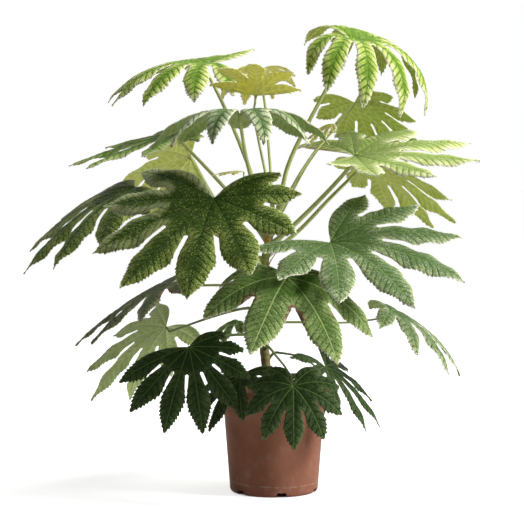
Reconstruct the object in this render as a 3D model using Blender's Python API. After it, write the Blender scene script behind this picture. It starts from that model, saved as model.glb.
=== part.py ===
"""Variegated fatsia growing in a round plastic nursery pot.

One object per piece: the pot, its soil, the woody trunk and, for every leaf, a blade and the stalk
that carries it.  Metres, +Z up, -Y is the front.  The origin is the bottom centre of the pot.
"""

from collections import namedtuple
from math import cos, pi, radians, sin, tan

import bmesh
import bpy
from mathutils import Vector

GAP = 0.0003                      # clearance kept between pieces that touch
SHARP_ANGLE = 35                  # edges folded more than this many degrees stay crisp
MERGE = 0.00001                   # points closer than this are one point

# Pot, turned about Z
POT_HEIGHT = 0.175
RIM_RADIUS = 0.095
RIM_ROUND = 0.0012                # rounding of the rim's outer edge
COLLAR_HEIGHT = 0.045             # the band under the rim
COLLAR_RADIUS = 0.0850            # outer radius at the band's lower edge
STEP_DROP = 0.0015                # height of the step under the band
WALL_RADIUS = 0.0826              # outer radius just under the step
HEEL_RADIUS = 0.0730              # outer radius where the heel starts to round
HEEL_ROUND = 0.0065
HEEL_STEPS = 3
HEEL_FIRST = 5                    # degrees of the heel's arc taken up by the wall's own slope
WALL = 0.0018                     # thickness of wall and floor
FLOOR_CORNER = (0.0022, 0.0025)   # bevel where the inside of the wall meets the floor
FOOT_WIDTH = 0.0050               # flat ring that the pot stands on
FOOT_DRAFT = 0.0010               # slope of the foot ring's inner side
FOOT_HEIGHT = 0.0095              # height of the drain channel's roof
PAD_RADIUS = 0.028                # flat pad in the middle, which the pot also stands on
PAD_DRAFT = 0.0010                # slope of the pad's side
POT_SIDES = 48
NOTCH_COUNT = 6                   # drain notches through the foot ring
NOTCH_HEIGHT = 0.0078
NOTCH_WIDTH = (0.022, 0.014)      # at the bottom and at the top
NOTCH_START = -80                 # degrees, the notch nearest the front
HOLE_RADIUS = 0.005               # drain holes in the channel's roof
HOLE_RING = 0.046
HOLE_SIDES = 10
HOLE_DEPTH = 4 * WALL             # length of the bars that cut the drain holes

# Soil
SOIL_TOP = 0.151                  # surface at the pot's wall
SOIL_CROWN = 0.004                # extra height around the trunk

# Trunk: centre line from the root end to the growing tip, with the radius at each point
TRUNK = (
    ((-0.013, 0.000, 0.120), 0.0085),
    ((-0.013, 0.000, 0.155), 0.0085),
    ((-0.013, 0.000, 0.205), 0.0078),
    ((-0.016, 0.000, 0.240), 0.0080),
    ((-0.018, 0.000, 0.300), 0.0075),
    ((-0.019, 0.000, 0.350), 0.0075),
    ((-0.013, 0.000, 0.395), 0.0068),
    ((-0.004, 0.000, 0.440), 0.0060),
    ((0.000, 0.000, 0.468), 0.0040),
)
TRUNK_SIDES = 12
PATH_STEPS = 2                    # steps between two points of the trunk or of a stalk

# Dry bracts: height of the base, direction that each faces in degrees, and length
BRACTS = {"lower": (0.370, -20, 0.026), "upper": (0.414, -110, 0.016)}
BRACT_WIDTH = 0.0055              # half width at the base
BRACT_THICKNESS = 0.0006
BRACT_LEAN = 0.3                  # how far the point stands out, as a share of the length
BRACT_TAPER = 0.6                 # power by which it narrows to its point
BRACT_ROWS = 4

# Leaves
BLADE_THICKNESS = 0.0012
STALK_SIDES = 6
STALK_END = 0.0010                # radius where the stalk meets its blade
STALK_TAPER = 5                   # how late along a stalk its thinning sets in
SEAT_GAP = 0.0007                 # clearance between a stalk's end and the middle of its blade
STALK_NECK = 0.012                # last stretch of a stalk, square to its blade
RIB_STEPS = 24                    # points worked out along a lobe's midrib
FREE_STATIONS = (0.34, 0.70, 1.0)  # cross-sections of a lobe, from the palm to the tip
SINUS_ROUND = 0.018               # radius of the gap between two lobes, as a share of the size
NECK_BLEND = 0.25                 # stretch over which a lobe narrows past the palm

Leaf = namedtuple("Leaf", "hub turn size breadth skew lobes spread lift droop stalk rise radius colour")
Leaf.__doc__ = """One leaf.

hub     where the stalk meets the blade
turn    heading (from +X towards +Y), pitch and roll of the blade, degrees
size    length of the middle lobe
breadth half width of the middle lobe, as a share of the size
skew    how much longer the leftmost lobe is than on an even leaf, as a share
lobes   number of lobes
spread  angle between two neighbouring lobes, degrees
lift    how far the lobes rise as they leave the hub, degrees
droop   how far the rightmost, the middle and the leftmost lobe hang down at the tip, degrees
stalk   points that the stalk passes between the trunk and the hub
rise    height at which the stalk leaves the trunk
radius  radius of the stalk at the trunk
colour  name of the leaf's colour
"""

SHORTENING = 0.35                 # how much shorter the outermost lobes are than the middle one
SHORTENING_POWER = 1.5            # how late in the fan the shortening sets in
PALM = 2.7                        # radius of the undivided middle, in half widths of a lobe
SLIMMING = 0.55                   # how much of a lobe's shortening also narrows it
NECK_SHAPE = 1.7                  # power of a lobe's outline at its neck
OUTER_BASE = 1.2                  # the same on the free side of an outermost lobe
TIP_SHAPE = 1.15                  # power of a lobe's outline at its tip
ARCH = 0.25                       # how far a lobe's edges curl down

COLOURS = {
    "old": (0.030, 0.060, 0.022),
    "shaded": (0.040, 0.080, 0.020),
    "green": (0.070, 0.140, 0.032),
    "speckled": (0.085, 0.150, 0.055),
    "lime": (0.330, 0.480, 0.080),
    "golden": (0.560, 0.500, 0.150),
    "pale": (0.300, 0.370, 0.160),
}

LEAVES = {
    "top_right": Leaf(
        (0.130, 0.050, 0.745), (-3, -18, 12), 0.210, 0.095, 0, 9, 34, 32, (75, 55, 45),
        ((0.007, 0.006, 0.470), (0.025, 0.002, 0.545), (0.075, 0.012, 0.645)), 0.430, 0.0040, "lime"),
    "top_left": Leaf(
        (-0.114, 0.115, 0.708), (168, -2, -4), 0.196, 0.120, 0.1, 9, 31, 16, (-20, 36, 44),
        ((-0.028, 0.026, 0.495), (-0.045, 0.050, 0.545), (-0.085, 0.090, 0.640)), 0.437, 0.0038, "lime"),
    "golden_front": Leaf(
        (-0.030, -0.012, 0.655), (-90, 35, -4), 0.124, 0.115, 0, 5, 36, 20, (0, 20, 0),
        ((-0.006, -0.002, 0.490), (-0.024, 0.012, 0.575), (-0.033, 0.002, 0.625)), 0.456, 0.0026,
        "golden"),
    "golden_back": Leaf(
        (-0.025, 0.118, 0.700), (110, -20, 0), 0.105, 0.110, 0, 7, 36, 20, (30, 35, 30),
        ((-0.003, 0.020, 0.492), (-0.008, 0.050, 0.560), (-0.015, 0.098, 0.640)), 0.460, 0.0026,
        "golden"),
    "upper_centre": Leaf(
        (-0.055, -0.140, 0.625), (90, -12, -2), 0.188, 0.118, 0, 9, 38, 20, (78, -8, 72),
        ((-0.024, -0.038, 0.480), (-0.043, -0.095, 0.545)), 0.443, 0.0038, "speckled"),
    "upper_right_back": Leaf(
        (0.140, 0.180, 0.645), (46, -42, 0), 0.148, 0.138, -0.15, 8, 30, 6, (10, 10, 15),
        ((0.012, 0.040, 0.460), (0.060, 0.120, 0.545)), 0.421, 0.0038, "pale"),
    "right_high": Leaf(
        (0.132, -0.020, 0.558), (6, 2, 20), 0.215, 0.125, 0.2, 8, 34, 6, (-25, 2, 25),
        ((0.030, -0.010, 0.440), (0.085, -0.015, 0.495)), 0.404, 0.0044, "lime"),
    "right_back": Leaf(
        (0.155, 0.100, 0.545), (34, -36, 0), 0.188, 0.150, -0.2, 7, 28, 6, (5, 5, 5),
        ((0.040, 0.030, 0.430), (0.095, 0.060, 0.485)), 0.390, 0.0038, "pale"),
    "upper_left": Leaf(
        (-0.160, 0.098, 0.590), (177, -13, -7), 0.195, 0.110, 0.12, 7, 36, 5, (0, 5, 0),
        ((-0.055, 0.038, 0.470), (-0.095, 0.066, 0.515)), 0.412, 0.0038, "pale"),
    "upper_left_back": Leaf(
        (-0.148, 0.300, 0.548), (198, -26, 44), 0.180, 0.140, -0.15, 6, 33, 10, (15, 15, 15),
        ((-0.045, 0.055, 0.395), (-0.075, 0.120, 0.440), (-0.108, 0.195, 0.485)), 0.352, 0.0044, "pale"),
    "far_left": Leaf(
        (-0.230, 0.015, 0.505), (194, -27, -5), 0.238, 0.130, 0, 7, 27, 8, (10, 20, 15),
        ((-0.120, 0.008, 0.440), (-0.200, 0.013, 0.487)), 0.382, 0.0036, "shaded"),
    "front_centre": Leaf(
        (-0.095, -0.195, 0.495), (-105, -40, 5), 0.216, 0.148, -0.2, 9, 30.5, 5, (5, 5, 5),
        ((-0.035, -0.040, 0.400), (-0.065, -0.115, 0.450), (-0.085, -0.170, 0.478)), 0.362, 0.0046,
        "shaded"),
    "right_middle": Leaf(
        (0.090, -0.090, 0.420), (-37, -16, 18), 0.240, 0.125, 0.05, 8, 31, 14, (-18, 10, -10),
        ((0.000, -0.016, 0.356), (0.040, -0.055, 0.382)), 0.340, 0.0036, "speckled"),
    "centre_low": Leaf(
        (0.020, -0.170, 0.370), (-84, -32, -8), 0.200, 0.150, 0.05, 6, 44, 12, (55, 8, 50),
        ((-0.010, -0.030, 0.330), (0.003, -0.100, 0.342)), 0.318, 0.0036, "green"),
    "far_right_low": Leaf(
        (0.195, 0.040, 0.295), (5, -30, 5), 0.170, 0.115, 0, 7, 34, 15, (25, 25, 25),
        ((0.010, 0.010, 0.280), (0.120, 0.026, 0.278)), 0.276, 0.0022, "speckled"),
    "left_low": Leaf(
        (-0.175, 0.060, 0.340), (175, -27, -5), 0.195, 0.115, 0, 7, 36, 8, (12, 12, 12),
        ((-0.050, 0.015, 0.340), (-0.130, 0.045, 0.338)), 0.334, 0.0026, "old"),
    "left_back_low": Leaf(
        (-0.185, 0.140, 0.260), (178, -38, 28), 0.185, 0.115, 0, 7, 34, 10, (15, 15, 15),
        ((-0.055, 0.035, 0.300), (-0.105, 0.080, 0.282)), 0.304, 0.0026, "pale"),
    "left_dark": Leaf(
        (-0.138, -0.085, 0.250), (-52, -50, 34), 0.148, 0.122, -0.33, 8, 26, 4, (12, 8, 5),
        ((-0.043, -0.014, 0.262), (-0.080, -0.030, 0.261)), 0.258, 0.0026, "old"),
    "small_back": Leaf(
        (-0.060, 0.050, 0.280), (200, -25, 0), 0.080, 0.120, 0, 5, 36, 10, (30, 30, 30),
        ((-0.035, 0.026, 0.287),), 0.288, 0.0020, "pale"),
    "pot_front": Leaf(
        (0.030, -0.175, 0.197), (-90, -52, 0), 0.106, 0.150, 0, 9, 36, 8, (40, 40, 40),
        ((-0.010, -0.020, 0.243), (0.002, -0.065, 0.234), (0.022, -0.130, 0.214)), 0.236, 0.0022, "old"),
    "pot_left": Leaf(
        (-0.055, -0.075, 0.202), (-135, -45, 4), 0.112, 0.125, 0, 7, 36, 8, (10, 10, 10),
        ((-0.020, -0.018, 0.184), (-0.038, -0.046, 0.196)), 0.176, 0.0022, "old"),
    "pot_right": Leaf(
        (0.085, -0.035, 0.212), (-20, -45, 0), 0.140, 0.090, 0, 8, 34, 10, (10, 10, 10),
        ((-0.001, 0.000, 0.229), (0.006, -0.002, 0.231), (0.048, -0.019, 0.224)), 0.214, 0.0020, "old"),
    "pot_small": Leaf(
        (0.060, -0.045, 0.197), (175, 5, 0), 0.062, 0.130, 0, 5, 36, 10, (10, 10, 10),
        ((0.008, -0.018, 0.186), (0.036, -0.034, 0.183)), 0.190, 0.0018, "old"),
    "young_right": Leaf(
        (0.095, 0.000, 0.610), (-150, -30, 0), 0.060, 0.100, 0, 5, 30, 5, (15, 15, 15),
        ((0.014, -0.010, 0.478), (0.055, -0.020, 0.548)), 0.447, 0.0018, "golden"),
    "young_left": Leaf(
        (-0.050, 0.026, 0.531), (180, 0, 0), 0.055, 0.100, 0, 5, 30, 5, (15, 15, 15),
        ((-0.024, 0.009, 0.476),), 0.450, 0.0016, "golden"),
}


def unit_axes(turn):
    """Heading, left and upward axes of a blade turned by heading, pitch and roll."""
    heading, pitch, roll = (radians(angle) for angle in turn)
    ahead = Vector((cos(heading) * cos(pitch), sin(heading) * cos(pitch), sin(pitch)))
    level = Vector((-sin(heading), cos(heading), 0))
    top = ahead.cross(level)
    left = cos(roll) * level + sin(roll) * top
    return ahead, left, ahead.cross(left)


def blend(first, second, share):
    """Point a share of the way from first to second."""
    return first + (second - first) * share


def clamp(value):
    """Value held between 0 and 1."""
    return min(max(value, 0.0), 1.0)


def outline(share, start, end):
    """Width of a lobe at a share of its length, 1 at its widest and 0 at its base and tip."""
    widest = start / (start + end)
    share = clamp(share)
    return (share / widest) ** start * ((1 - share) / (1 - widest)) ** end


def lobe_places(leaf):
    """Place of each lobe in the fan, from -1 for the rightmost to 1 for the leftmost."""
    return [2 * lobe / (leaf.lobes - 1) - 1 for lobe in range(leaf.lobes)]


def fan_angles(leaf):
    """Direction of each lobe from right to left, degrees to the left of the heading."""
    return [leaf.spread * (leaf.lobes - 1) / 2 * place for place in lobe_places(leaf)]


def reaches(leaf):
    """Length of each lobe as a share of the middle lobe's, shorter towards the stalk."""
    return [(1 - SHORTENING * abs(place) ** SHORTENING_POWER) * (1 + leaf.skew * place)
            for place in lobe_places(leaf)]


def droops(leaf):
    """Droop of each lobe, run from the rightmost through the middle one to the leftmost."""
    right, middle, left = leaf.droop
    return [blend(middle, left if place > 0 else right, abs(place)) for place in lobe_places(leaf)]


class Blade:
    """Bent surface of one leaf's blade, worked out lobe by lobe from its midribs."""

    def __init__(self, leaf):
        self.leaf = leaf
        self.hub = Vector(leaf.hub)
        self.ahead, self.left, self.top = unit_axes(leaf.turn)
        self.palm = PALM * leaf.breadth * leaf.size
        self.fan, self.reach, self.droop = fan_angles(leaf), reaches(leaf), droops(leaf)
        self.ribs = [self.midrib(lobe) for lobe in range(leaf.lobes)]

    def length(self, lobe):
        """Length of a lobe from the hub to its tip."""
        return self.leaf.size * self.reach[lobe]

    def midrib(self, lobe):
        """Points along a lobe's midrib, each with its sideways and upward directions."""
        angle = radians(self.fan[lobe])
        along = cos(angle) * self.ahead + sin(angle) * self.left
        across = cos(angle) * self.left - sin(angle) * self.ahead
        pull = -(Vector((0, 0, 1)) + self.top) / 2
        down = (pull - pull.dot(along) * along).normalized()
        hinge = along.cross(down)
        lift = radians(self.leaf.lift)
        turned = radians(self.droop[lobe]) + 2 * lift
        step = self.length(lobe) / RIB_STEPS
        rib = []
        point = Vector((0, 0, 0))
        for index in range(RIB_STEPS + 1):
            bend = turned * index / RIB_STEPS - lift
            ways = [self.swing(way, hinge, bend) for way in (along, across, self.top)]
            if index:
                point = point + (ways[0] + before) * (step / 2)
            before = ways[0]
            rib.append((point, ways[1], ways[2]))
        return rib

    @staticmethod
    def swing(way, hinge, bend):
        """Direction turned about a hinge line."""
        return (cos(bend) * way + sin(bend) * hinge.cross(way)
                + (1 - cos(bend)) * hinge.dot(way) * hinge)

    def rib_place(self, lobe, along, aside):
        """Point beside a lobe's midrib and the upward direction there."""
        rib = self.ribs[lobe]
        spot = clamp(along / self.length(lobe)) * RIB_STEPS
        index = min(int(spot), RIB_STEPS - 1)
        first, second = rib[index], rib[index + 1]
        point, across, top = (blend(a, b, spot - index) for a, b in zip(first, second))
        return point + across * aside, top

    def half_width(self, lobe, side, along):
        """Width of a lobe on one side, and the width at which it meets its neighbour."""
        reach = self.reach[lobe]
        width = self.leaf.breadth * self.leaf.size * blend(1, reach, SLIMMING)
        share = along / self.length(lobe)
        other = lobe + side
        if not 0 <= other < self.leaf.lobes:
            return width * outline(share, OUTER_BASE, TIP_SHAPE), None
        half = abs(radians(self.fan[other] - self.fan[lobe])) / 2
        border = along * tan(half)
        past = along - self.palm
        if past <= MERGE:
            return border, border
        gap = SINUS_ROUND * self.leaf.size
        opening = gap * (1 - (1 - clamp(past / gap)) ** 2) ** 0.5
        share_free = clamp(past / (NECK_BLEND * self.length(lobe)))
        free = blend(self.palm * tan(half), width * outline(share, NECK_SHAPE, TIP_SHAPE), share_free)
        return max(min(border - opening, free), 0.0), border

    def point(self, lobe, along, across):
        """Point of the surface; across runs from -1 at a lobe's right edge to 1 at its left."""
        side = 1 if across > 0 else -1
        width, border = self.half_width(lobe, side, along)
        aside = across * width
        place, top = self.rib_place(lobe, along, aside)
        curl = -ARCH * abs(aside * across)
        if border and across:
            shared = clamp(abs(aside) / border)
            fade = 1 - clamp((along - self.palm) / (NECK_BLEND * self.leaf.size))
            weight = 0.5 * shared * shared * (3 - 2 * shared) * fade
            other = lobe + side
            turn = radians(self.fan[lobe] - self.fan[other])
            beside = self.rib_place(other, along * cos(turn) - aside * sin(turn),
                                    along * sin(turn) + aside * cos(turn))
            place = blend(place, beside[0], weight)
            top = blend(top, beside[1], weight)
            curl *= 1 - fade
        return self.hub + place + top * curl


def material(name, colour, roughness):
    """Principled material of one colour."""
    made = bpy.data.materials.new(name)
    made.use_nodes = True
    shader = made.node_tree.nodes["Principled BSDF"]
    shader.inputs["Base Color"].default_value = (*colour, 1)
    shader.inputs["Roughness"].default_value = roughness
    shader.inputs["Metallic"].default_value = 0
    return made


def add_object(name, mesh, finish=None):
    """Object of a mesh, linked to the scene, with its material."""
    made = bpy.data.objects.new(name, mesh)
    bpy.context.collection.objects.link(made)
    if finish:
        mesh.materials.append(finish)
    return made


def as_mesh(name, shape):
    """Mesh of a finished bmesh, which is freed."""
    mesh = bpy.data.meshes.new(name)
    shape.to_mesh(mesh)
    shape.free()
    return mesh


def subtract(target, cutter):
    """Live Boolean cut of a cutter from a target."""
    cut = target.modifiers.new("cut_" + cutter.name, "BOOLEAN")
    cut.operation = "DIFFERENCE"
    cut.object = cutter
    cut.solver = "EXACT"


def as_cutter(made):
    """Mark an object as a cutter, which is no part of the model."""
    made.hide_render = True
    made.display_type = "WIRE"
    return made


def turned_mesh(name, profile, sides):
    """Solid turned about Z from a profile of (radius, height) points."""
    shape = bmesh.new()
    points = [shape.verts.new((radius, 0, height)) for radius, height in profile]
    for first, second in zip(points, points[1:]):
        shape.edges.new((first, second))
    if profile[0][0] or profile[-1][0]:
        shape.edges.new((points[-1], points[0]))
    bmesh.ops.spin(shape, geom=shape.verts[:] + shape.edges[:], cent=(0, 0, 0), axis=(0, 0, 1),
                   angle=2 * pi, steps=sides, use_merge=True)
    bmesh.ops.remove_doubles(shape, verts=shape.verts[:], dist=MERGE)
    bmesh.ops.recalc_face_normals(shape, faces=shape.faces[:])
    mesh = as_mesh(name, shape)
    mesh.shade_smooth()
    mesh.set_sharp_from_angle(angle=radians(SHARP_ANGLE))
    return mesh


def inner_wall(clearance):
    """Inside of the pot from the middle of the floor to the rim, moved inwards by a clearance."""
    inset = WALL + clearance
    slope_foot = POT_HEIGHT - COLLAR_HEIGHT
    return [
        (0, inset),
        (PAD_RADIUS - inset, inset),
        (PAD_RADIUS + PAD_DRAFT - inset, FOOT_HEIGHT + inset),
        (HEEL_RADIUS - inset - FLOOR_CORNER[0], FOOT_HEIGHT + inset),
        (HEEL_RADIUS - inset, FOOT_HEIGHT + inset + FLOOR_CORNER[1]),
        (WALL_RADIUS - inset, slope_foot - STEP_DROP + clearance),
        (COLLAR_RADIUS - inset, slope_foot + clearance + STEP_DROP / 2),
        (RIM_RADIUS - inset, POT_HEIGHT),
    ]


def pot_profile():
    """Closed section of the pot: outside from the rim down, under the floor, and up inside."""
    slope_foot = POT_HEIGHT - COLLAR_HEIGHT
    outside = [
        (RIM_RADIUS - RIM_ROUND, POT_HEIGHT),
        (RIM_RADIUS, POT_HEIGHT - RIM_ROUND),
        (COLLAR_RADIUS, slope_foot),
        (WALL_RADIUS, slope_foot - STEP_DROP),
    ]
    heel = []
    for index in range(HEEL_STEPS + 1):
        angle = radians(HEEL_FIRST + (90 - HEEL_FIRST) * index / HEEL_STEPS)
        heel.append((HEEL_RADIUS - HEEL_ROUND * (1 - cos(angle)), HEEL_ROUND * (1 - sin(angle))))
    foot = heel[-1][0]
    under = [
        (foot - FOOT_WIDTH, 0),
        (foot - FOOT_WIDTH - FOOT_DRAFT, FOOT_HEIGHT),
        (PAD_RADIUS + PAD_DRAFT, FOOT_HEIGHT),
        (PAD_RADIUS, 0),
        (0, 0),
    ]
    return outside + heel + under + inner_wall(0)


def notch_cutter():
    """Wedges that cut the drain notches through the foot ring."""
    shape = bmesh.new()
    low, high = (width / 2 for width in NOTCH_WIDTH)
    section = ((-low, -WALL), (low, -WALL), (high, NOTCH_HEIGHT), (-high, NOTCH_HEIGHT))
    inner, outer = HOLE_RING, RIM_RADIUS
    for index in range(NOTCH_COUNT):
        angle = radians(NOTCH_START) + 2 * pi * index / NOTCH_COUNT
        out, aside = Vector((cos(angle), sin(angle), 0)), Vector((-sin(angle), cos(angle), 0))
        face = shape.faces.new([shape.verts.new(out * inner + aside * x + Vector((0, 0, z)))
                                for x, z in section])
        pushed = bmesh.ops.extrude_face_region(shape, geom=[face])
        moved = [part for part in pushed["geom"] if isinstance(part, bmesh.types.BMVert)]
        bmesh.ops.translate(shape, verts=moved, vec=out * (outer - inner))
    bmesh.ops.recalc_face_normals(shape, faces=shape.faces[:])
    return as_cutter(add_object("notch_cutter", as_mesh("notch_cutter", shape)))


def hole_cutter():
    """Round bars that cut the drain holes through the floor."""
    shape = bmesh.new()
    for index in range(NOTCH_COUNT):
        angle = radians(NOTCH_START) + 2 * pi * index / NOTCH_COUNT
        made = bmesh.ops.create_cone(shape, cap_ends=True, segments=HOLE_SIDES, radius1=HOLE_RADIUS,
                                     radius2=HOLE_RADIUS, depth=HOLE_DEPTH)
        centre = Vector((HOLE_RING * cos(angle), HOLE_RING * sin(angle), FOOT_HEIGHT + WALL / 2))
        bmesh.ops.translate(shape, verts=made["verts"], vec=centre)
    return as_cutter(add_object("hole_cutter", as_mesh("hole_cutter", shape)))


def smooth_path(points):
    """Smooth curve through the points, with PATH_STEPS steps between two of them."""
    ends = [points[0] * 2 - points[1]] + list(points) + [points[-1] * 2 - points[-2]]
    path = []
    for before, start, end, after in zip(ends, ends[1:], ends[2:], ends[3:]):
        chord = (end - start).length
        leave = (end - before).normalized() * chord
        arrive = (after - start).normalized() * chord
        for index in range(PATH_STEPS):
            t = index / PATH_STEPS
            rise = t * t * (3 - 2 * t)
            path.append(blend(start, end, rise) + leave * t * (1 - t) ** 2 - arrive * t * t * (1 - t))
    return path + [points[-1]]


def tube_mesh(name, path, radii, sides):
    """Closed tube along a path, from a curve with a round bevel and filled ends."""
    curve = bpy.data.curves.new(name, "CURVE")
    curve.dimensions = "3D"
    curve.bevel_depth = 1.0
    curve.bevel_resolution = sides // 2 - 2
    curve.use_fill_caps = True
    spline = curve.splines.new("POLY")
    spline.points.add(len(path) - 1)
    for place, point, radius in zip(spline.points, path, radii):
        place.co = (*point, 1)
        place.radius = radius
    holder = bpy.data.objects.new(name, curve)
    bpy.context.collection.objects.link(holder)
    mesh = bpy.data.meshes.new_from_object(holder.evaluated_get(bpy.context.evaluated_depsgraph_get()))
    bpy.data.objects.remove(holder)
    bpy.data.curves.remove(curve)
    mesh.name = name
    shape = bmesh.new()
    shape.from_mesh(mesh)
    bmesh.ops.remove_doubles(shape, verts=shape.verts[:], dist=MERGE)
    bmesh.ops.recalc_face_normals(shape, faces=shape.faces[:])
    shape.to_mesh(mesh)
    shape.free()
    mesh.shade_smooth()
    return mesh


def trunk_path():
    """Smooth centre line of the trunk and its radii."""
    points = smooth_path([Vector(point) for point, _ in TRUNK])
    radii = []
    for (_, low), (_, high) in zip(TRUNK, TRUNK[1:]):
        radii += [blend(low, high, step / PATH_STEPS) for step in range(PATH_STEPS)]
    return points, radii + [TRUNK[-1][1]]


def trunk_at(height):
    """Centre of the trunk at a height."""
    points = trunk_path()[0]
    for low, high in zip(points, points[1:]):
        if low.z <= height <= high.z:
            return blend(low, high, (height - low.z) / (high.z - low.z))
    return points[-1]


def trunk_radius(height):
    """Radius of the trunk at a height, the larger of its two neighbours."""
    points, radii = trunk_path()
    spot = sum(point.z < height for point in points)
    return max(radii[spot - 1:spot + 1])


def make_trunk(finish):
    """Make the trunk and return the cutter that clears its soil socket and the feet of the stalks."""
    points, radii = trunk_path()
    add_object("trunk", tube_mesh("trunk", points, radii, TRUNK_SIDES), finish)
    up = (points[1] - points[0]).normalized()
    out = (points[-1] - points[-2]).normalized()
    longer = [points[0] - up * GAP] + points[1:-1] + [points[-1] + out * GAP]
    fatter = [radius + GAP / cos(pi / TRUNK_SIDES) for radius in radii]
    return as_cutter(add_object("trunk_cutter", tube_mesh("trunk_cutter", longer, fatter, TRUNK_SIDES)))


def make_pot(finish):
    """Pot with its drain notches and drain holes."""
    pot = add_object("pot", turned_mesh("pot", pot_profile(), POT_SIDES), finish)
    subtract(pot, notch_cutter())
    subtract(pot, hole_cutter())


def make_soil(finish, trunk_cutter):
    """Soil that fills the pot to a little under the rim, with a socket for the trunk."""
    *below, collar, rim = inner_wall(GAP)
    share = (SOIL_TOP - collar[1]) / (rim[1] - collar[1])
    edge = (blend(collar[0], rim[0], share), SOIL_TOP)
    profile = [*below, collar, edge,
               (edge[0] * 2 / 3, SOIL_TOP + SOIL_CROWN / 2), (edge[0] / 3, SOIL_TOP + SOIL_CROWN),
               (0, SOIL_TOP + SOIL_CROWN)]
    soil = add_object("soil", turned_mesh("soil", profile, POT_SIDES), finish)
    subtract(soil, trunk_cutter)


def make_blade(name, shape, finish):
    """Blade of one leaf: a grid for each lobe, bent to its midrib and welded at the palm."""
    sheet = bmesh.new()
    rows = 1 + len(FREE_STATIONS)
    for lobe in range(shape.leaf.lobes):
        grid = bmesh.ops.create_grid(sheet, x_segments=2, y_segments=rows, size=1)
        free = shape.length(lobe) - shape.palm
        stations = [0, shape.palm] + [shape.palm + free * share for share in FREE_STATIONS]
        for vert in grid["verts"]:
            row = round((vert.co.y + 1) / 2 * rows)
            vert.co = shape.point(lobe, stations[row], vert.co.x)
    bmesh.ops.remove_doubles(sheet, verts=sheet.verts[:], dist=MERGE)
    bmesh.ops.triangulate(sheet, faces=sheet.faces[:])
    bmesh.ops.recalc_face_normals(sheet, faces=sheet.faces[:])
    blade = add_object("blade_" + name, as_mesh("blade_" + name, sheet), finish)
    wall = blade.modifiers.new("thickness", "SOLIDIFY")
    wall.thickness = BLADE_THICKNESS
    wall.offset = 0


def make_bract(name, finish, foot, facing, length):
    """Dry scale that stands against the trunk, curved round it and leaning out to a point."""
    sheet = bmesh.new()
    grid = bmesh.ops.create_grid(sheet, x_segments=3, y_segments=BRACT_ROWS, size=1)
    for vert in grid["verts"]:
        rise = (vert.co.y + 1) / 2
        aside = vert.co.x * BRACT_WIDTH * (1 - rise) ** BRACT_TAPER
        radius = trunk_radius(foot) + BRACT_THICKNESS / 2 + 2 * GAP + BRACT_LEAN * length * rise * rise
        angle = radians(facing) + aside / radius
        height = foot + length * rise
        vert.co = trunk_at(height) + Vector((radius * cos(angle), radius * sin(angle), 0))
    bmesh.ops.remove_doubles(sheet, verts=sheet.verts[:], dist=MERGE)
    bract = add_object("bract_" + name, as_mesh("bract_" + name, sheet), finish)
    wall = bract.modifiers.new("thickness", "SOLIDIFY")
    wall.thickness = BRACT_THICKNESS
    wall.offset = 0


def make_stalk(name, shape, finish, trunk_cutter):
    """Stalk of one leaf, from the trunk to just under its blade, thinner towards the blade."""
    leaf = shape.leaf
    seat = shape.hub - shape.top * (BLADE_THICKNESS / 2 + SEAT_GAP)
    neck = shape.hub - shape.top * STALK_NECK
    route = [trunk_at(leaf.rise)] + [Vector(point) for point in leaf.stalk] + [neck]
    path = smooth_path(route) + [seat]
    shares = [index / (len(path) - 1) for index in range(len(path))]
    radii = [blend(leaf.radius, STALK_END, share ** STALK_TAPER) for share in shares]
    stalk = add_object("stalk_" + name, tube_mesh("stalk_" + name, path, radii, STALK_SIDES), finish)
    subtract(stalk, trunk_cutter)


def main():
    """Clear the scene and make every piece."""
    for old in list(bpy.data.objects):
        bpy.data.objects.remove(old)
    make_pot(material("terracotta_plastic", (0.360, 0.150, 0.095), 0.5))
    trunk_cutter = make_trunk(material("green_bark", (0.160, 0.140, 0.060), 0.6))
    make_soil(material("potting_soil", (0.030, 0.020, 0.013), 0.95), trunk_cutter)
    dry = material("dry_bract", (0.300, 0.150, 0.050), 0.8)
    for name, (foot, facing, length) in BRACTS.items():
        make_bract(name, dry, foot, facing, length)
    stalk_green = material("stalk_green", (0.210, 0.280, 0.070), 0.45)
    finishes = {name: material("leaf_" + name, colour, 0.4) for name, colour in COLOURS.items()}
    for name, leaf in LEAVES.items():
        shape = Blade(leaf)
        make_blade(name, shape, finishes[leaf.colour])
        make_stalk(name, shape, stalk_green, trunk_cutter)


main()
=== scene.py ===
"""Looks of the potted fatsia: its leaves, stalks, trunk, soil and pot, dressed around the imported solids."""

import logging
import random
from dataclasses import dataclass
from enum import Enum
from math import cos, hypot, pi, radians, sin, tan
from typing import Callable, TypeVar

import bmesh
import bpy
from mathutils import Matrix, Vector, noise


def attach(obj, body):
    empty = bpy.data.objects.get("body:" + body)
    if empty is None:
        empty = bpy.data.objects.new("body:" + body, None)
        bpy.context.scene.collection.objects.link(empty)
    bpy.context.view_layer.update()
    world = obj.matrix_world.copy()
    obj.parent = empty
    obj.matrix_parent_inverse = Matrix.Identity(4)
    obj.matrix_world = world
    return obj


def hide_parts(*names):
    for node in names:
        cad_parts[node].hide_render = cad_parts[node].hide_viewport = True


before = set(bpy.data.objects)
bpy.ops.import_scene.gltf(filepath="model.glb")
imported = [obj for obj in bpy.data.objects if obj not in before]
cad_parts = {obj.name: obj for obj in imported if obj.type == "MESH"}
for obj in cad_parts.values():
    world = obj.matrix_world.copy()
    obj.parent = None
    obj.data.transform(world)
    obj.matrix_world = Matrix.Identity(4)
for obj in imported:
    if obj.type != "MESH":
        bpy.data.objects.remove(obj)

logging.basicConfig(level=logging.INFO, format="%(message)s")
LOG = logging.getLogger("fatsia")

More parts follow.
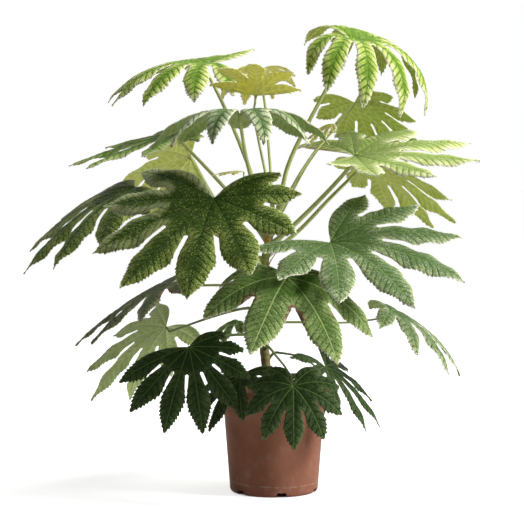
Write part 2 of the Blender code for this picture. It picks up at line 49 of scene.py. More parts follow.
BODY = "root"
MERGE = 0.00001         # metres; points closer than this are one point
FALL = 2.718            # base of the curves that fall away with distance
VEIN_GAP = 0.013        # metres between two side veins
VEIN_SLOPE = 0.85       # how far side veins run forward for each metre sideways
UNDERSIDE = 1           # material slot of a leaf's lower face
WHITE = (1, 1, 1, 1)
SCORCH_DARK = (0.11, 0.052, 0.028)
SCORCH_LIGHT = (0.42, 0.29, 0.17)

Colour = tuple[float, float, float]
Mixable = TypeVar("Mixable", float, Vector)


class Tone(Enum):
    """Age and kind of a leaf, which set its colours; the shaded tone's darkness is partly painted shade and
    the golden tone's brightness partly painted light.
    """

    OLD = "old"
    SHADED = "shaded"
    GREEN = "green"
    SPECKLED = "speckled"
    FEATHERED = "feathered"
    CREAMY = "creamy"
    SAGE = "sage"
    WORN = "worn"
    LIME = "lime"
    GOLDEN = "golden"
    PALE = "pale"


def blend(first: Mixable, second: Mixable, share: float) -> Mixable:
    """Return the value a share of the way from first to second."""
    return first + (second - first) * share


def clamp(value: float) -> float:
    """Return the value held between 0 and 1."""
    return min(max(value, 0.0), 1.0)


def ease(value: float) -> float:
    """Return the value, held between 0 and 1, with a soft start and end."""
    value = clamp(value)
    return value * value * (3 - 2 * value)


def compass(angle: float) -> Vector:
    """Return the level direction at an angle from +X, in radians."""
    return Vector((cos(angle), sin(angle), 0))


@dataclass(frozen=True)
class Signal:
    """Output of a node. Calculating with it adds the nodes that do so."""

    sheet: "NodeSheet"
    socket: bpy.types.NodeSocket

    def __add__(self, other: "Signal | float") -> "Signal":
        """Return the sum."""
        return self.sheet.math("ADD", self, other)

    def __sub__(self, other: "Signal | float") -> "Signal":
        """Return the difference."""
        return self.sheet.math("SUBTRACT", self, other)

    def __mul__(self, other: "Signal | float") -> "Signal":
        """Return the product."""
        return self.sheet.math("MULTIPLY", self, other)

    def __truediv__(self, other: "Signal | float") -> "Signal":
        """Return the quotient."""
        return self.sheet.math("DIVIDE", self, other)

    def __abs__(self) -> "Signal":
        """Return the value without its sign."""
        return self.sheet.math("ABSOLUTE", self)

    def waves(self, gap: float) -> "Signal":
        """Return a value that runs from 0 to 0.5 and back in every gap."""
        return self.sheet.math("PINGPONG", self / gap, 0.5)

    def ramp(self, low: float, high: float) -> "Signal":
        """Add a soft step.

        Args:
            low: where the step starts.
            high: where it ends; the step falls if this is less than low.

        Returns:
            A value from 0 to 1.
        """
        falls = low > high
        limits = (min(low, high), max(low, high), float(falls), float(not falls))
        node = self.sheet.add("MapRange", dict(enumerate((self, *limits))), interpolation_type="SMOOTHSTEP")
        return Signal(self.sheet, node.outputs[0])


@dataclass
class NodeSheet:
    """Nodes of one material, or of the world."""

    name: str
    world: bool = False

    def __post_init__(self) -> None:
        """Create the material or world and find its shader."""
        self.owner = (bpy.data.worlds if self.world else bpy.data.materials).new(self.name)
        self.owner.use_nodes = True
        self.tree = self.owner.node_tree
        self.shader = self.tree.nodes["Background" if self.world else "Principled BSDF"]

    def add(self, kind: str, inputs: dict | None = None, **settings) -> bpy.types.Node:
        """Add a node.

        Args:
            kind: Blender's name for the node type, without ShaderNode.
            inputs: what each input gets, by name or number.
            **settings: attributes to set on the node.

        Returns:
            The new node.
        """
        node = self.tree.nodes.new("ShaderNode" + kind)
        for key, value in settings.items():
            setattr(node, key, value)
        for key, value in (inputs or {}).items():
            self.feed(node.inputs[key], value)
        return node

    def feed(self, socket: bpy.types.NodeSocket,
             value: "Signal | bpy.types.NodeSocket | Colour | float") -> None:
        """Give a socket its value, or join it to an output.

        Args:
            socket: the input to fill.
            value: a number, a colour, a signal or an output socket.
        """
        value = value.socket if isinstance(value, Signal) else value
        if isinstance(value, bpy.types.NodeSocket):
            self.tree.links.new(value, socket)
        else:
            socket.default_value = (*value, 1) if socket.type == "RGBA" else value

    def math(self, operation: str, *values: "Signal | float") -> Signal:
        """Add a calculation.

        Args:
            operation: Blender's name for it.
            *values: what it takes.

        Returns:
            Its result.
        """
        return Signal(self, self.add("Math", dict(enumerate(values)), operation=operation).outputs[0])

    def layers(self, base: "Signal | Colour", *coats: tuple) -> Signal:
        """Lay colours over each other in turn.

        Args:
            base: the colour underneath.
            *coats: pairs of a mask from 0 to 1 and the colour it lets through.

        Returns:
            The colour that they give.
        """
        for mask, colour in coats:
            node = self.add("Mix", {"Factor": mask}, data_type="RGBA")
            self.feed(node.inputs[6], base)
            self.feed(node.inputs[7], colour)
            base = Signal(self, node.outputs[2])
        return base

    def place(self) -> bpy.types.NodeSocket:
        """Return the piece's own coordinates."""
        return self.add("TexCoord").outputs["Object"]

    def parts(self, vector: bpy.types.NodeSocket) -> list[Signal]:
        """Return the three parts of a vector."""
        return [Signal(self, socket) for socket in self.add("SeparateXYZ", {0: vector}).outputs]

    def unwrapped(self, name: str) -> list[Signal]:
        """Return the two coordinates of a UV map."""
        return self.parts(self.add("UVMap", uv_map=name).outputs[0])[:2]

    def noise(self, scale: float, detail: float = 3, rough: float = 0.55,
              where: bpy.types.NodeSocket = None) -> Signal:
        """Add a cloudy pattern.

        Args:
            scale: spots per metre.
            detail: how many finer layers it has.
            rough: strength of the finer layers.
            where: coordinates, the piece's own if left out.

        Returns:
            A value from 0 to 1.
        """
        inputs = {"Vector": where or self.place(), "Scale": scale, "Detail": detail, "Roughness": rough}
        return Signal(self, self.add("TexNoise", inputs).outputs[0])

    def clouds(self, scale: float, detail: float = 3, rough: float = 0.55) -> Signal:
        """Return soft patches that cover half of the piece; the arguments are those of noise."""
        return self.noise(scale, detail, rough).ramp(0.35, 0.65)

    def bump(self, height: Signal, distance: float, strength: float = 1.0) -> None:
        """Give the shader a relief.

        Args:
            height: signal that holds the relief.
            distance: height in metres that 1 stands for.
            strength: how strongly it shades.
        """
        node = self.add("Bump", {"Height": height, "Distance": distance, "Strength": strength})
        self.feed(self.shader.inputs["Normal"], node.outputs[0])

    def finish(self, colour: "Signal | Colour", roughness: "Signal | float", **fixed) -> bpy.types.Material:
        """Set the shader's main inputs.

        Args:
            colour: colour or signal.
            roughness: number or signal.
            **fixed: values for other sockets, with _ for a space in their names.

        Returns:
            The finished material.
        """
        self.feed(self.shader.inputs["Base Color"], colour)
        self.feed(self.shader.inputs["Roughness"], roughness)
        for key, value in fixed.items():
            self.shader.inputs[key.replace("_", " ")].default_value = value
        return self.owner


@dataclass(frozen=True)
class LeafFinish:
    """Colours of one tone of leaf, from its midribs out to its speckled margin."""

    tone: Tone
    slot: str
    heart: Colour                  # round the midribs
    skin: Colour                   # between midrib and margin
    rim: Colour                    # towards the margin
    speck: Colour
    trim: Colour                   # the thin line along the margin
    vein: Colour
    # underside colour, set lighter than the leaf's own, partly as painted light for the light that shines
    # through the blade
    under: Colour
    under_vein: Colour
    translucence: float
    speckle: float = 0.45          # how thickly the specks lie, from 0 to 1
    margin: float = 0.0022         # width of the paler margin, metres
    gloss: float = 0.46            # lowest roughness
    feather: float = 0.004         # how far the heart's green follows the side veins
    depth: float = 0.006           # distance from the margin at which that green begins
    scorch: float = 0.0            # strength of the brown scorched patches between lobes
    scorch_reach: float = 0.085    # their distance from the hub
    glow: Colour = (0.7, 1.0, 0.15)   # colour of the light that shines through
    grain: float = 400             # specks per metre
    mottle: float = 0.25           # strength of the fine mottling among the specks
    fringe: float = 0.016          # width of the stretch along the margin where specks crowd
    fading: float = 0.0            # how much paler the rightmost lobes are
    vein_width: float = 0.001

    def veins(self, sheet: NodeSheet) -> tuple:
        """Draw the veins.

        Args:
            sheet: the material's nodes.

        Returns:
            Masks of main veins, side veins and net, the way between side veins, and the way along the lobe.
        """
        aside, along = sheet.unwrapped("blade")
        aside = abs(aside)
        main = (aside + along * 0.003 - self.vein_width).ramp(0.0003, -0.0002)
        wander = (sheet.noise(55, 2) - 0.5) * 0.007
        between = (along - aside * VEIN_SLOPE + wander).waves(VEIN_GAP)
        cells = sheet.add("TexVoronoi", {"Vector": sheet.place(), "Scale": 260}, feature="DISTANCE_TO_EDGE")
        net = Signal(sheet, cells.outputs[0]).ramp(0.12, 0.02)
        return main, between.ramp(0.05, 0.012), net, between, along

    def specks(self, sheet: NodeSheet, near: Signal) -> Signal:
        """Scatter the pale specks, which crowd towards the margin.

        Args:
            sheet: the material's nodes.
            near: how close the margin is, from 0 to 1.

        Returns:
            Their mask.
        """
        spread = sheet.add("TexNoise", {"Vector": sheet.place(), "Scale": 300}).outputs["Color"]
        wander = sheet.add("VectorMath", {0: spread, 1: (0.004,) * 3, 2: sheet.place()},
                           operation="MULTIPLY_ADD")
        cell = sheet.add("TexVoronoi", {"Vector": wander.outputs[0], "Scale": self.grain}, feature="F1")
        chance = sheet.parts(cell.outputs["Color"])[0]
        patches = sheet.noise(34, 3).ramp(0.4, 0.64) * 0.26 - 0.16
        rare = 1.02 - 0.35 * self.speckle
        there = (near * 0.62 + patches + chance).ramp(rare, rare + 0.08)
        return there * Signal(sheet, cell.outputs["Distance"]).ramp(0.6, 0.36)

    def scorched(self, sheet: NodeSheet, inward: Signal, along: Signal) -> tuple:
        """Burn brown patches at the forks between lobes.

        Args:
            sheet: the material's nodes.
            inward: ragged distance from the edge.
            along: distance from the hub.

        Returns:
            Their mask and their colour.
        """
        fork = abs(along - self.scorch_reach).ramp(0.034, 0.022)
        burnt = fork * inward.ramp(0.009, 0.005) * sheet.noise(19, 2).ramp(0.49, 0.53)
        brown = sheet.layers(SCORCH_DARK, (sheet.noise(160, 3).ramp(0.4, 0.6), SCORCH_LIGHT))
        return burnt * self.scorch, brown

    def lit(self, sheet: NodeSheet, skin: Signal, rough: "Signal | float",
            shine: float) -> bpy.types.Material:
        """Finish a material that lets some light through.

        Args:
            sheet: the material's nodes.
            skin: its colour.
            rough: its roughness.
            shine: its specular level.

        Returns:
            The finished material.
        """
        return sheet.finish(skin, rough, IOR=1.45, Specular_IOR_Level=shine, Subsurface_Scale=0.003,
                            Subsurface_Weight=self.translucence, Subsurface_Radius=self.glow)

    def top(self) -> bpy.types.Material:
        """Make the material of the leaf's upper face.

        Returns:
            The finished material.
        """
        sheet = NodeSheet("leaf_%s_top" % self.tone.value)
        main, side, net, between, along = self.veins(sheet)
        edge, lobe = sheet.unwrapped("rim")
        shift = sheet.noise(38, 4, 0.6) * 0.024 - 0.012
        blot = sheet.noise(190, 3, 0.7) * 0.012 - 0.006
        inward = edge + (shift + blot)
        green = between.ramp(0.26, 0.02) * self.feather + inward
        near = (between.ramp(0.2, 0.0) * 0.002 + inward).ramp(self.fringe, 0.0)
        fine = sheet.noise(620, 2, 0.7).ramp(0.47, 0.62) * (near * between.ramp(0.04, 0.16))
        line = (sheet.noise(210, 3, 0.6) * self.margin - edge).ramp(0.0, self.margin * 0.2)
        coats = [(green.ramp(self.depth, self.depth + 0.007), self.heart),
                 (green.ramp(self.depth * 0.8, 0.0), self.rim),
                 (fine * self.mottle, self.speck),
                 (self.specks(sheet, near) * (0.25 + 0.3 * self.speckle), self.speck),
                 (line * 0.95, self.trim), (net * 0.12, self.vein)]
        if self.fading:
            coats.append((lobe.ramp(3.2, 0.6) * self.fading * inward.ramp(0.02, 0.004), self.trim))
        # side veins drawn darker: partly their own colour, partly painted shade in the grooves between the
        # bulges
        coats += [(side * 0.6, tuple(0.55 * value for value in self.heart)), (main * 0.8, self.vein)]
        if self.scorch:
            coats.append(self.scorched(sheet, inward, along))
        relief = sheet.noise(420, 3) * 0.25 - sheet.math("MAXIMUM", main, side * 0.8) - net * 0.25
        sheet.bump(relief + between.ramp(0.0, 0.28) * 0.35, 0.0017)
        return self.lit(sheet, sheet.layers(self.skin, *coats), sheet.noise(90, 2) * 0.16 + self.gloss, 0.08)

    def underside(self) -> bpy.types.Material:
        """Make the material of the leaf's lower face.

        Returns:
            The finished material.
        """
        sheet = NodeSheet("leaf_%s_under" % self.tone.value)
        main, side, net, between, _ = self.veins(sheet)
        edge = sheet.unwrapped("rim")[0]
        paler = tuple(blend(a, b, 0.45) for a, b in zip(self.under, self.under_vein))
        deeper = tuple(0.72 * value for value in self.under)
        veined = ((edge.ramp(self.margin * 1.2, 0.0), 0.5), (net, 0.16), (side, 0.6), (main, 0.9))
        # the under colours are lightened in part as painted light, standing in for light shining through the
        # leaf
        skin = sheet.layers(self.under, (sheet.noise(34, 4, 0.6).ramp(0.38, 0.62), paler),
                            (between.ramp(0.1, 0.45) * 0.45, deeper),
                            *((mask * strength, self.under_vein) for mask, strength in veined))
        sheet.bump(sheet.math("MAXIMUM", main, side * 0.7) + net * 0.2, 0.001, 0.9)
        return self.lit(sheet, skin, 0.6, 0.05)


LEAF_FINISHES = {finish.tone: finish for finish in (
    LeafFinish(Tone.OLD, "leaf_old", heart=(0.02, 0.042, 0.01), skin=(0.032, 0.06, 0.016),
               rim=(0.06, 0.096, 0.03), speck=(0.2, 0.25, 0.12), trim=(0.17, 0.21, 0.09),
               vein=(0.13, 0.21, 0.055), under=(0.1, 0.15, 0.045), under_vein=(0.2, 0.26, 0.09),
               speckle=0.1, margin=0.001, gloss=0.44, translucence=0.05),
    # shaded tone: dark green with pale specks crowding to the margin; its darkness is partly the leaf's own
    # and partly painted shade
    LeafFinish(Tone.SHADED, "leaf_shaded", heart=(0.036, 0.072, 0.006), skin=(0.06, 0.102, 0.01),
               rim=(0.13, 0.18, 0.028), speck=(0.46, 0.53, 0.15), trim=(0.64, 0.67, 0.4),
               vein=(0.016, 0.042, 0.006), under=(0.22, 0.28, 0.085), under_vein=(0.34, 0.4, 0.15),
               speckle=1.0, margin=0.0016, translucence=0.1, feather=0.007, depth=0.008, grain=480,
               fringe=0.024, fading=0.45, mottle=0.6),
    LeafFinish(Tone.GREEN, "leaf_green", heart=(0.08, 0.16, 0.026), skin=(0.175, 0.295, 0.07),
               rim=(0.29, 0.38, 0.13), speck=(0.64, 0.66, 0.36), trim=(0.76, 0.74, 0.5),
               vein=(0.5, 0.58, 0.24), under=(0.22, 0.3, 0.085), under_vein=(0.34, 0.42, 0.16),
               speckle=0.35, margin=0.0028, gloss=0.42, translucence=0.12, feather=0.005, scorch=0.9,
               fringe=0.04, mottle=0.35, vein_width=0.0013),
    LeafFinish(Tone.SPECKLED, "leaf_speckled", heart=(0.095, 0.165, 0.05), skin=(0.18, 0.255, 0.095),
               rim=(0.33, 0.4, 0.19), speck=(0.76, 0.77, 0.56), trim=(0.86, 0.86, 0.68),
               vein=(0.28, 0.4, 0.13), under=(0.3, 0.39, 0.12), under_vein=(0.44, 0.52, 0.22), speckle=0.4,
               margin=0.0026, gloss=0.42, translucence=0.18, feather=0.005, depth=0.005, fringe=0.03,
               mottle=0.2),
    LeafFinish(Tone.FEATHERED, "leaf_speckled", heart=(0.13, 0.2, 0.07), skin=(0.34, 0.41, 0.2),
               rim=(0.62, 0.65, 0.4), speck=(0.78, 0.79, 0.6), trim=(0.8, 0.8, 0.6),
               vein=(0.06, 0.13, 0.03), under=(0.3, 0.39, 0.12), under_vein=(0.44, 0.52, 0.22), speckle=0.5,
               margin=0.0028, gloss=0.44, translucence=0.18, feather=0.011, depth=0.008),
    LeafFinish(Tone.LIME, "leaf_lime", heart=(0.15, 0.27, 0.028), skin=(0.4, 0.5, 0.08),
               rim=(0.74, 0.74, 0.33), speck=(0.86, 0.86, 0.6), trim=(0.86, 0.86, 0.62),
               vein=(0.17, 0.29, 0.034), under=(0.48, 0.52, 0.14), under_vein=(0.64, 0.67, 0.27),
               margin=0.003, translucence=0.28, feather=0.011, depth=0.009, glow=(0.8, 1.0, 0.3)),
    LeafFinish(Tone.CREAMY, "leaf_lime", heart=(0.3, 0.4, 0.11), skin=(0.52, 0.58, 0.22),
               rim=(0.78, 0.78, 0.44), speck=(0.86, 0.86, 0.64), trim=(0.88, 0.88, 0.7),
               vein=(0.3, 0.4, 0.11), under=(0.56, 0.6, 0.22), under_vein=(0.7, 0.72, 0.36), speckle=0.6,
               margin=0.003, translucence=0.28, feather=0.009, depth=0.008, glow=(0.8, 1.0, 0.3)),
    # golden tone of the young leaves: a yellow of their own, lightened well past it as painted light for the
    # light shining through them
    LeafFinish(Tone.GOLDEN, "leaf_golden", heart=(0.9, 0.8, 0.15), skin=(0.94, 0.85, 0.24),
               rim=(0.88, 0.85, 0.36), speck=(0.9, 0.87, 0.5), trim=(0.9, 0.88, 0.56),
               vein=(0.62, 0.62, 0.13), under=(0.94, 0.85, 0.24), under_vein=(0.96, 0.9, 0.4), speckle=0.15,
               margin=0.0015, gloss=0.48, translucence=0.6, glow=(1.0, 0.9, 0.3)),
    LeafFinish(Tone.PALE, "leaf_pale", heart=(0.12, 0.24, 0.022), skin=(0.26, 0.39, 0.06),
               rim=(0.48, 0.56, 0.2), speck=(0.76, 0.78, 0.48), trim=(0.8, 0.81, 0.56),
               vein=(0.15, 0.27, 0.04), under=(0.56, 0.61, 0.14), under_vein=(0.7, 0.74, 0.28),
               translucence=0.35, feather=0.008, depth=0.007),
    LeafFinish(Tone.WORN, "leaf_old", heart=(0.11, 0.145, 0.07), skin=(0.2, 0.24, 0.125),
               rim=(0.38, 0.39, 0.2), speck=(0.56, 0.54, 0.34), trim=(0.56, 0.5, 0.32),
               vein=(0.2, 0.24, 0.11), under=(0.24, 0.29, 0.11), under_vein=(0.38, 0.42, 0.19), speckle=0.3,
               margin=0.0018, gloss=0.48, translucence=0.1, scorch=0.8),
    LeafFinish(Tone.SAGE, "leaf_pale", heart=(0.1, 0.2, 0.05), skin=(0.2, 0.32, 0.1),
               rim=(0.38, 0.48, 0.22), speck=(0.7, 0.74, 0.48), trim=(0.74, 0.77, 0.54),
               vein=(0.15, 0.27, 0.06), under=(0.42, 0.52, 0.19), under_vein=(0.58, 0.66, 0.34),
               translucence=0.25, feather=0.008, depth=0.007),
)}


@dataclass(frozen=True)
class Leaf:
    """One leaf: where it stands, how it is turned, and the stalk that carries it.

    The values are those of the solids: hub, turn (heading, pitch and roll in degrees), length and
    relative half width of the middle lobe, how much longer the leftmost lobe is than on an even leaf,
    number of lobes, angle between lobes, lift at the hub, droop of the rightmost, middle and leftmost
    lobe, points of the stalk, height where it leaves the trunk, and its radius there.
    """

    name: str
    hub: tuple
    turn: tuple
    size: float
    breadth: float
    skew: float
    lobes: int
    spread: float
    lift: float
    droop: tuple
    stalk: tuple
    rise: float
    radius: float
    tone: Tone


LEAVES = (
    Leaf("top_right", (0.13, 0.05, 0.745), (-3, -18, 12), 0.21, 0.095, 0, 9, 34, 32, (75, 55, 45),
         ((0.007, 0.006, 0.47), (0.025, 0.002, 0.545), (0.075, 0.012, 0.645)), 0.43, 0.004, Tone.LIME),
    Leaf("top_left", (-0.114, 0.115, 0.708), (168, -2, -4), 0.196, 0.12, 0.1, 9, 31, 16, (-20, 36, 44),
         ((-0.028, 0.026, 0.495), (-0.045, 0.05, 0.545), (-0.085, 0.09, 0.64)), 0.437, 0.0038, Tone.LIME),
    Leaf("golden_front", (-0.03, -0.012, 0.655), (-90, 35, -4), 0.124, 0.115, 0, 5, 36, 20, (0, 20, 0),
         ((-0.006, -0.002, 0.49), (-0.024, 0.012, 0.575), (-0.033, 0.002, 0.625)), 0.456, 0.0026,
         Tone.GOLDEN),
    Leaf("golden_back", (-0.025, 0.118, 0.7), (110, -20, 0), 0.105, 0.11, 0, 7, 36, 20, (30, 35, 30),
         ((-0.003, 0.02, 0.492), (-0.008, 0.05, 0.56), (-0.015, 0.098, 0.64)), 0.46, 0.0026, Tone.GOLDEN),
    Leaf("upper_centre", (-0.055, -0.14, 0.625), (90, -12, -2), 0.188, 0.118, 0, 9, 38, 20, (78, -8, 72),
         ((-0.024, -0.038, 0.48), (-0.043, -0.095, 0.545)), 0.443, 0.0038, Tone.FEATHERED),
    Leaf("upper_right_back", (0.14, 0.18, 0.645), (46, -42, 0), 0.148, 0.138, -0.15, 8, 30, 6, (10, 10, 15),
         ((0.012, 0.04, 0.46), (0.06, 0.12, 0.545)), 0.421, 0.0038, Tone.PALE),
    Leaf("right_high", (0.132, -0.02, 0.558), (6, 2, 20), 0.215, 0.125, 0.2, 8, 34, 6, (-25, 2, 25),
         ((0.03, -0.01, 0.44), (0.085, -0.015, 0.495)), 0.404, 0.0044, Tone.CREAMY),
    Leaf("right_back", (0.155, 0.1, 0.545), (34, -36, 0), 0.188, 0.15, -0.2, 7, 28, 6, (5, 5, 5),
         ((0.04, 0.03, 0.43), (0.095, 0.06, 0.485)), 0.39, 0.0038, Tone.PALE),
    Leaf("upper_left", (-0.16, 0.098, 0.59), (177, -13, -7), 0.195, 0.11, 0.12, 7, 36, 5, (0, 5, 0),
         ((-0.055, 0.038, 0.47), (-0.095, 0.066, 0.515)), 0.412, 0.0038, Tone.PALE),
    Leaf("upper_left_back", (-0.148, 0.3, 0.548), (198, -26, 44), 0.18, 0.14, -0.15, 6, 33, 10,
         (15, 15, 15), ((-0.045, 0.055, 0.395), (-0.075, 0.12, 0.44), (-0.108, 0.195, 0.485)), 0.352,
         0.0044, Tone.PALE),
    Leaf("far_left", (-0.23, 0.015, 0.505), (194, -27, -5), 0.238, 0.13, 0, 7, 27, 8, (10, 20, 15),
         ((-0.12, 0.008, 0.44), (-0.2, 0.013, 0.487)), 0.382, 0.0036, Tone.SHADED),
    Leaf("front_centre", (-0.095, -0.195, 0.495), (-105, -40, 5), 0.216, 0.148, -0.2, 9, 30.5, 5, (5, 5, 5),
         ((-0.035, -0.04, 0.4), (-0.065, -0.115, 0.45), (-0.085, -0.17, 0.478)), 0.362, 0.0046,
         Tone.SHADED),
    Leaf("right_middle", (0.09, -0.09, 0.42), (-37, -16, 18), 0.24, 0.125, 0.05, 8, 31, 14, (-18, 10, -10),
         ((0.0, -0.016, 0.356), (0.04, -0.055, 0.382)), 0.34, 0.0036, Tone.SPECKLED),
    Leaf("centre_low", (0.02, -0.17, 0.37), (-84, -32, -8), 0.2, 0.15, 0.05, 6, 44, 12, (55, 8, 50),
         ((-0.01, -0.03, 0.33), (0.003, -0.1, 0.342)), 0.318, 0.0036, Tone.GREEN),
    Leaf("far_right_low", (0.195, 0.04, 0.295), (5, -30, 5), 0.17, 0.115, 0, 7, 34, 15, (25, 25, 25),
         ((0.01, 0.01, 0.28), (0.12, 0.026, 0.278)), 0.276, 0.0022, Tone.SPECKLED),
    Leaf("left_low", (-0.175, 0.06, 0.34), (175, -27, -5), 0.195, 0.115, 0, 7, 36, 8, (12, 12, 12),
         ((-0.05, 0.015, 0.34), (-0.13, 0.045, 0.338)), 0.334, 0.0026, Tone.WORN),
    Leaf("left_back_low", (-0.185, 0.14, 0.26), (178, -38, 28), 0.185, 0.115, 0, 7, 34, 10, (15, 15, 15),
         ((-0.055, 0.035, 0.3), (-0.105, 0.08, 0.282)), 0.304, 0.0026, Tone.SAGE),
    Leaf("left_dark", (-0.138, -0.085, 0.25), (-52, -50, 34), 0.148, 0.122, -0.33, 8, 26, 4, (12, 8, 5),
         ((-0.043, -0.014, 0.262), (-0.08, -0.03, 0.261)), 0.258, 0.0026, Tone.OLD),
    Leaf("small_back", (-0.06, 0.05, 0.28), (200, -25, 0), 0.08, 0.12, 0, 5, 36, 10, (30, 30, 30),
         ((-0.035, 0.026, 0.287),), 0.288, 0.002, Tone.SAGE),
    Leaf("pot_front", (0.03, -0.175, 0.197), (-90, -52, 0), 0.106, 0.15, 0, 9, 36, 8, (40, 40, 40),
         ((-0.01, -0.02, 0.243), (0.002, -0.065, 0.234), (0.022, -0.13, 0.214)), 0.236, 0.0022, Tone.OLD),
    Leaf("pot_left", (-0.055, -0.075, 0.202), (-135, -45, 4), 0.112, 0.125, 0, 7, 36, 8, (10, 10, 10),
         ((-0.02, -0.018, 0.184), (-0.038, -0.046, 0.196)), 0.176, 0.0022, Tone.OLD),
    Leaf("pot_right", (0.085, -0.035, 0.212), (-20, -45, 0), 0.14, 0.09, 0, 8, 34, 10, (10, 10, 10),
         ((-0.001, 0.0, 0.229), (0.006, -0.002, 0.231), (0.048, -0.019, 0.224)), 0.214, 0.002, Tone.OLD),
    Leaf("pot_small", (0.06, -0.045, 0.197), (175, 5, 0), 0.062, 0.13, 0, 5, 36, 10, (10, 10, 10),
         ((0.008, -0.018, 0.186), (0.036, -0.034, 0.183)), 0.19, 0.0018, Tone.OLD),
    Leaf("young_right", (0.095, 0.0, 0.61), (-150, -30, 0), 0.06, 0.1, 0, 5, 30, 5, (15, 15, 15),
         ((0.014, -0.01, 0.478), (0.055, -0.02, 0.548)), 0.447, 0.0018, Tone.GOLDEN),
    Leaf("young_left", (-0.05, 0.026, 0.531), (180, 0, 0), 0.055, 0.1, 0, 5, 30, 5, (15, 15, 15),
         ((-0.024, 0.009, 0.476),), 0.45, 0.0016, Tone.GOLDEN),
)


def unit_axes(turn: tuple) -> tuple[Vector, Vector, Vector]:
    """Work out a blade's axes.

    Args:
        turn: heading, pitch and roll in degrees.

    Returns:
        The directions ahead, to the left and upwards.
    """
    heading, pitch, roll = (radians(angle) for angle in turn)
    ahead = Vector((cos(heading) * cos(pitch), sin(heading) * cos(pitch), sin(pitch)))
    level = Vector((-sin(heading), cos(heading), 0))
    left = cos(roll) * level + sin(roll) * ahead.cross(level)
    return ahead, left, ahead.cross(left)


def smooth_path(points: list[Vector], steps: int) -> list[Vector]:
    """Draw a smooth curve through some points.

    Args:
        points: places that the curve passes.
        steps: how many steps lie between two of them.

    Returns:
        The curve's points.
    """
    ends = [points[0] * 2 - points[1]] + list(points) + [points[-1] * 2 - points[-2]]
    path = []
    for before, start, end, after in zip(ends, ends[1:], ends[2:], ends[3:]):
        chord = (end - start).length
        leave = (end - before).normalized() * chord
        arrive = (after - start).normalized() * chord
        for index in range(steps):
            t = index / steps
            path.append(blend(start, end, t * t * (3 - 2 * t)) + leave * t * (1 - t) ** 2
                        - arrive * t * t * (1 - t))
    return path + [points[-1]]


def finished(name: str, shape: bmesh.types.BMesh, *finishes: bpy.types.Material) -> bpy.types.Object:
    """Make a smooth-shaded object of a bmesh, which is freed.

    Args:
        name: the object's name.
        shape: its bmesh.
        *finishes: its materials, in the order of their slots.

    Returns:
        The object.
    """
    mesh = bpy.data.meshes.new(name)
    shape.to_mesh(mesh)
    shape.free()
    mesh.shade_smooth()
    for finish in finishes:
        mesh.materials.append(finish)
    made = bpy.data.objects.new(name, mesh)
    bpy.context.collection.objects.link(made)
    return made


def thickened(sheet: bpy.types.Object, thickness: float, back: int = 0) -> bpy.types.Object:
    """Give a sheet a thickness, half of it to each side.

    Args:
        sheet: the object.
        thickness: its thickness.
        back: material slot of its lower face.

    Returns:
        The same object.
    """
    wall = sheet.modifiers.new("thickness", "SOLIDIFY")
    wall.thickness = thickness
    wall.offset = 0
    wall.material_offset = back
    return sheet


def closed(shape: bmesh.types.BMesh) -> bmesh.types.BMesh:
    """Make touching points one and turn the faces outwards.

    Args:
        shape: the bmesh.

    Returns:
        The same bmesh.
    """
    bmesh.ops.remove_doubles(shape, verts=shape.verts[:], dist=MERGE)
    bmesh.ops.recalc_face_normals(shape, faces=shape.faces[:])
    return shape


def dress(piece: bpy.types.Object, slot: str, *nodes: str) -> None:
    """Declare a finished piece: its body and the nodes it stands for.

    Args:
        piece: the finished object.
        slot: the record's material slot; not used.
        *nodes: solids that it replaces.
    """
    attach(piece, BODY)
    if nodes:
        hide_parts(*nodes)
    LOG.info("%s: %d faces", piece.name, len(piece.data.polygons))


def sweep(path: list[Vector], radius: Callable[[int, float], float], sides: int) -> bmesh.types.BMesh:
    """Sweep a closed bar along a path.

    Args:
        path: points of its centre line.
        radius: gives the radius for a point's index and an angle round it, in turns.
        sides: number of sides.

    Returns:
        Its bmesh.
    """
    shape = bmesh.new()
    rows = len(path) + 1
    grid = bmesh.ops.create_grid(shape, x_segments=sides, y_segments=rows, size=1)
    frames = []
    across = None
    for index, point in enumerate(path):
        ahead = (path[min(index + 1, len(path) - 1)] - path[max(index - 1, 0)]).normalized()
        side = across or ahead.orthogonal()
        across = (side - ahead * side.dot(ahead)).normalized()
        frames.append((point, across, ahead.cross(across)))
    places = {}
    for vert in grid["verts"]:
        around = (vert.co.x + 1) / 2
        row = round((vert.co.y + 1) / 2 * rows)
        index = min(max(row - 1, 0), len(path) - 1)
        point, side, over = frames[index]
        reach = 0 if row in (0, rows) else radius(index, around)
        vert.co = point + (side * cos(2 * pi * around) + over * sin(2 * pi * around)) * reach
        places[vert] = (around, index / len(path))
    layer = shape.loops.layers.uv.new("length")
    for face in shape.faces:
        for loop in face.loops:
            loop[layer].uv = places[loop.vert]
    return closed(shape)


def turned(profile: list[tuple[float, float]], sides: int) -> bmesh.types.BMesh:
    """Turn a closed solid about Z.

    Args:
        profile: points of (radius, height), in order round the section.
        sides: number of sides.

    Returns:
        Its bmesh.
    """
    shape = bmesh.new()
    points = [shape.verts.new((radius, 0, height)) for radius, height in profile]
    for first, second in zip(points, points[1:]):
        shape.edges.new((first, second))
    if profile[0][0] or profile[-1][0]:
        shape.edges.new((points[-1], points[0]))
    bmesh.ops.spin(shape, geom=shape.verts[:] + shape.edges[:], cent=(0, 0, 0), axis=(0, 0, 1),
                   angle=2 * pi, steps=sides, use_merge=True)
    return closed(shape)


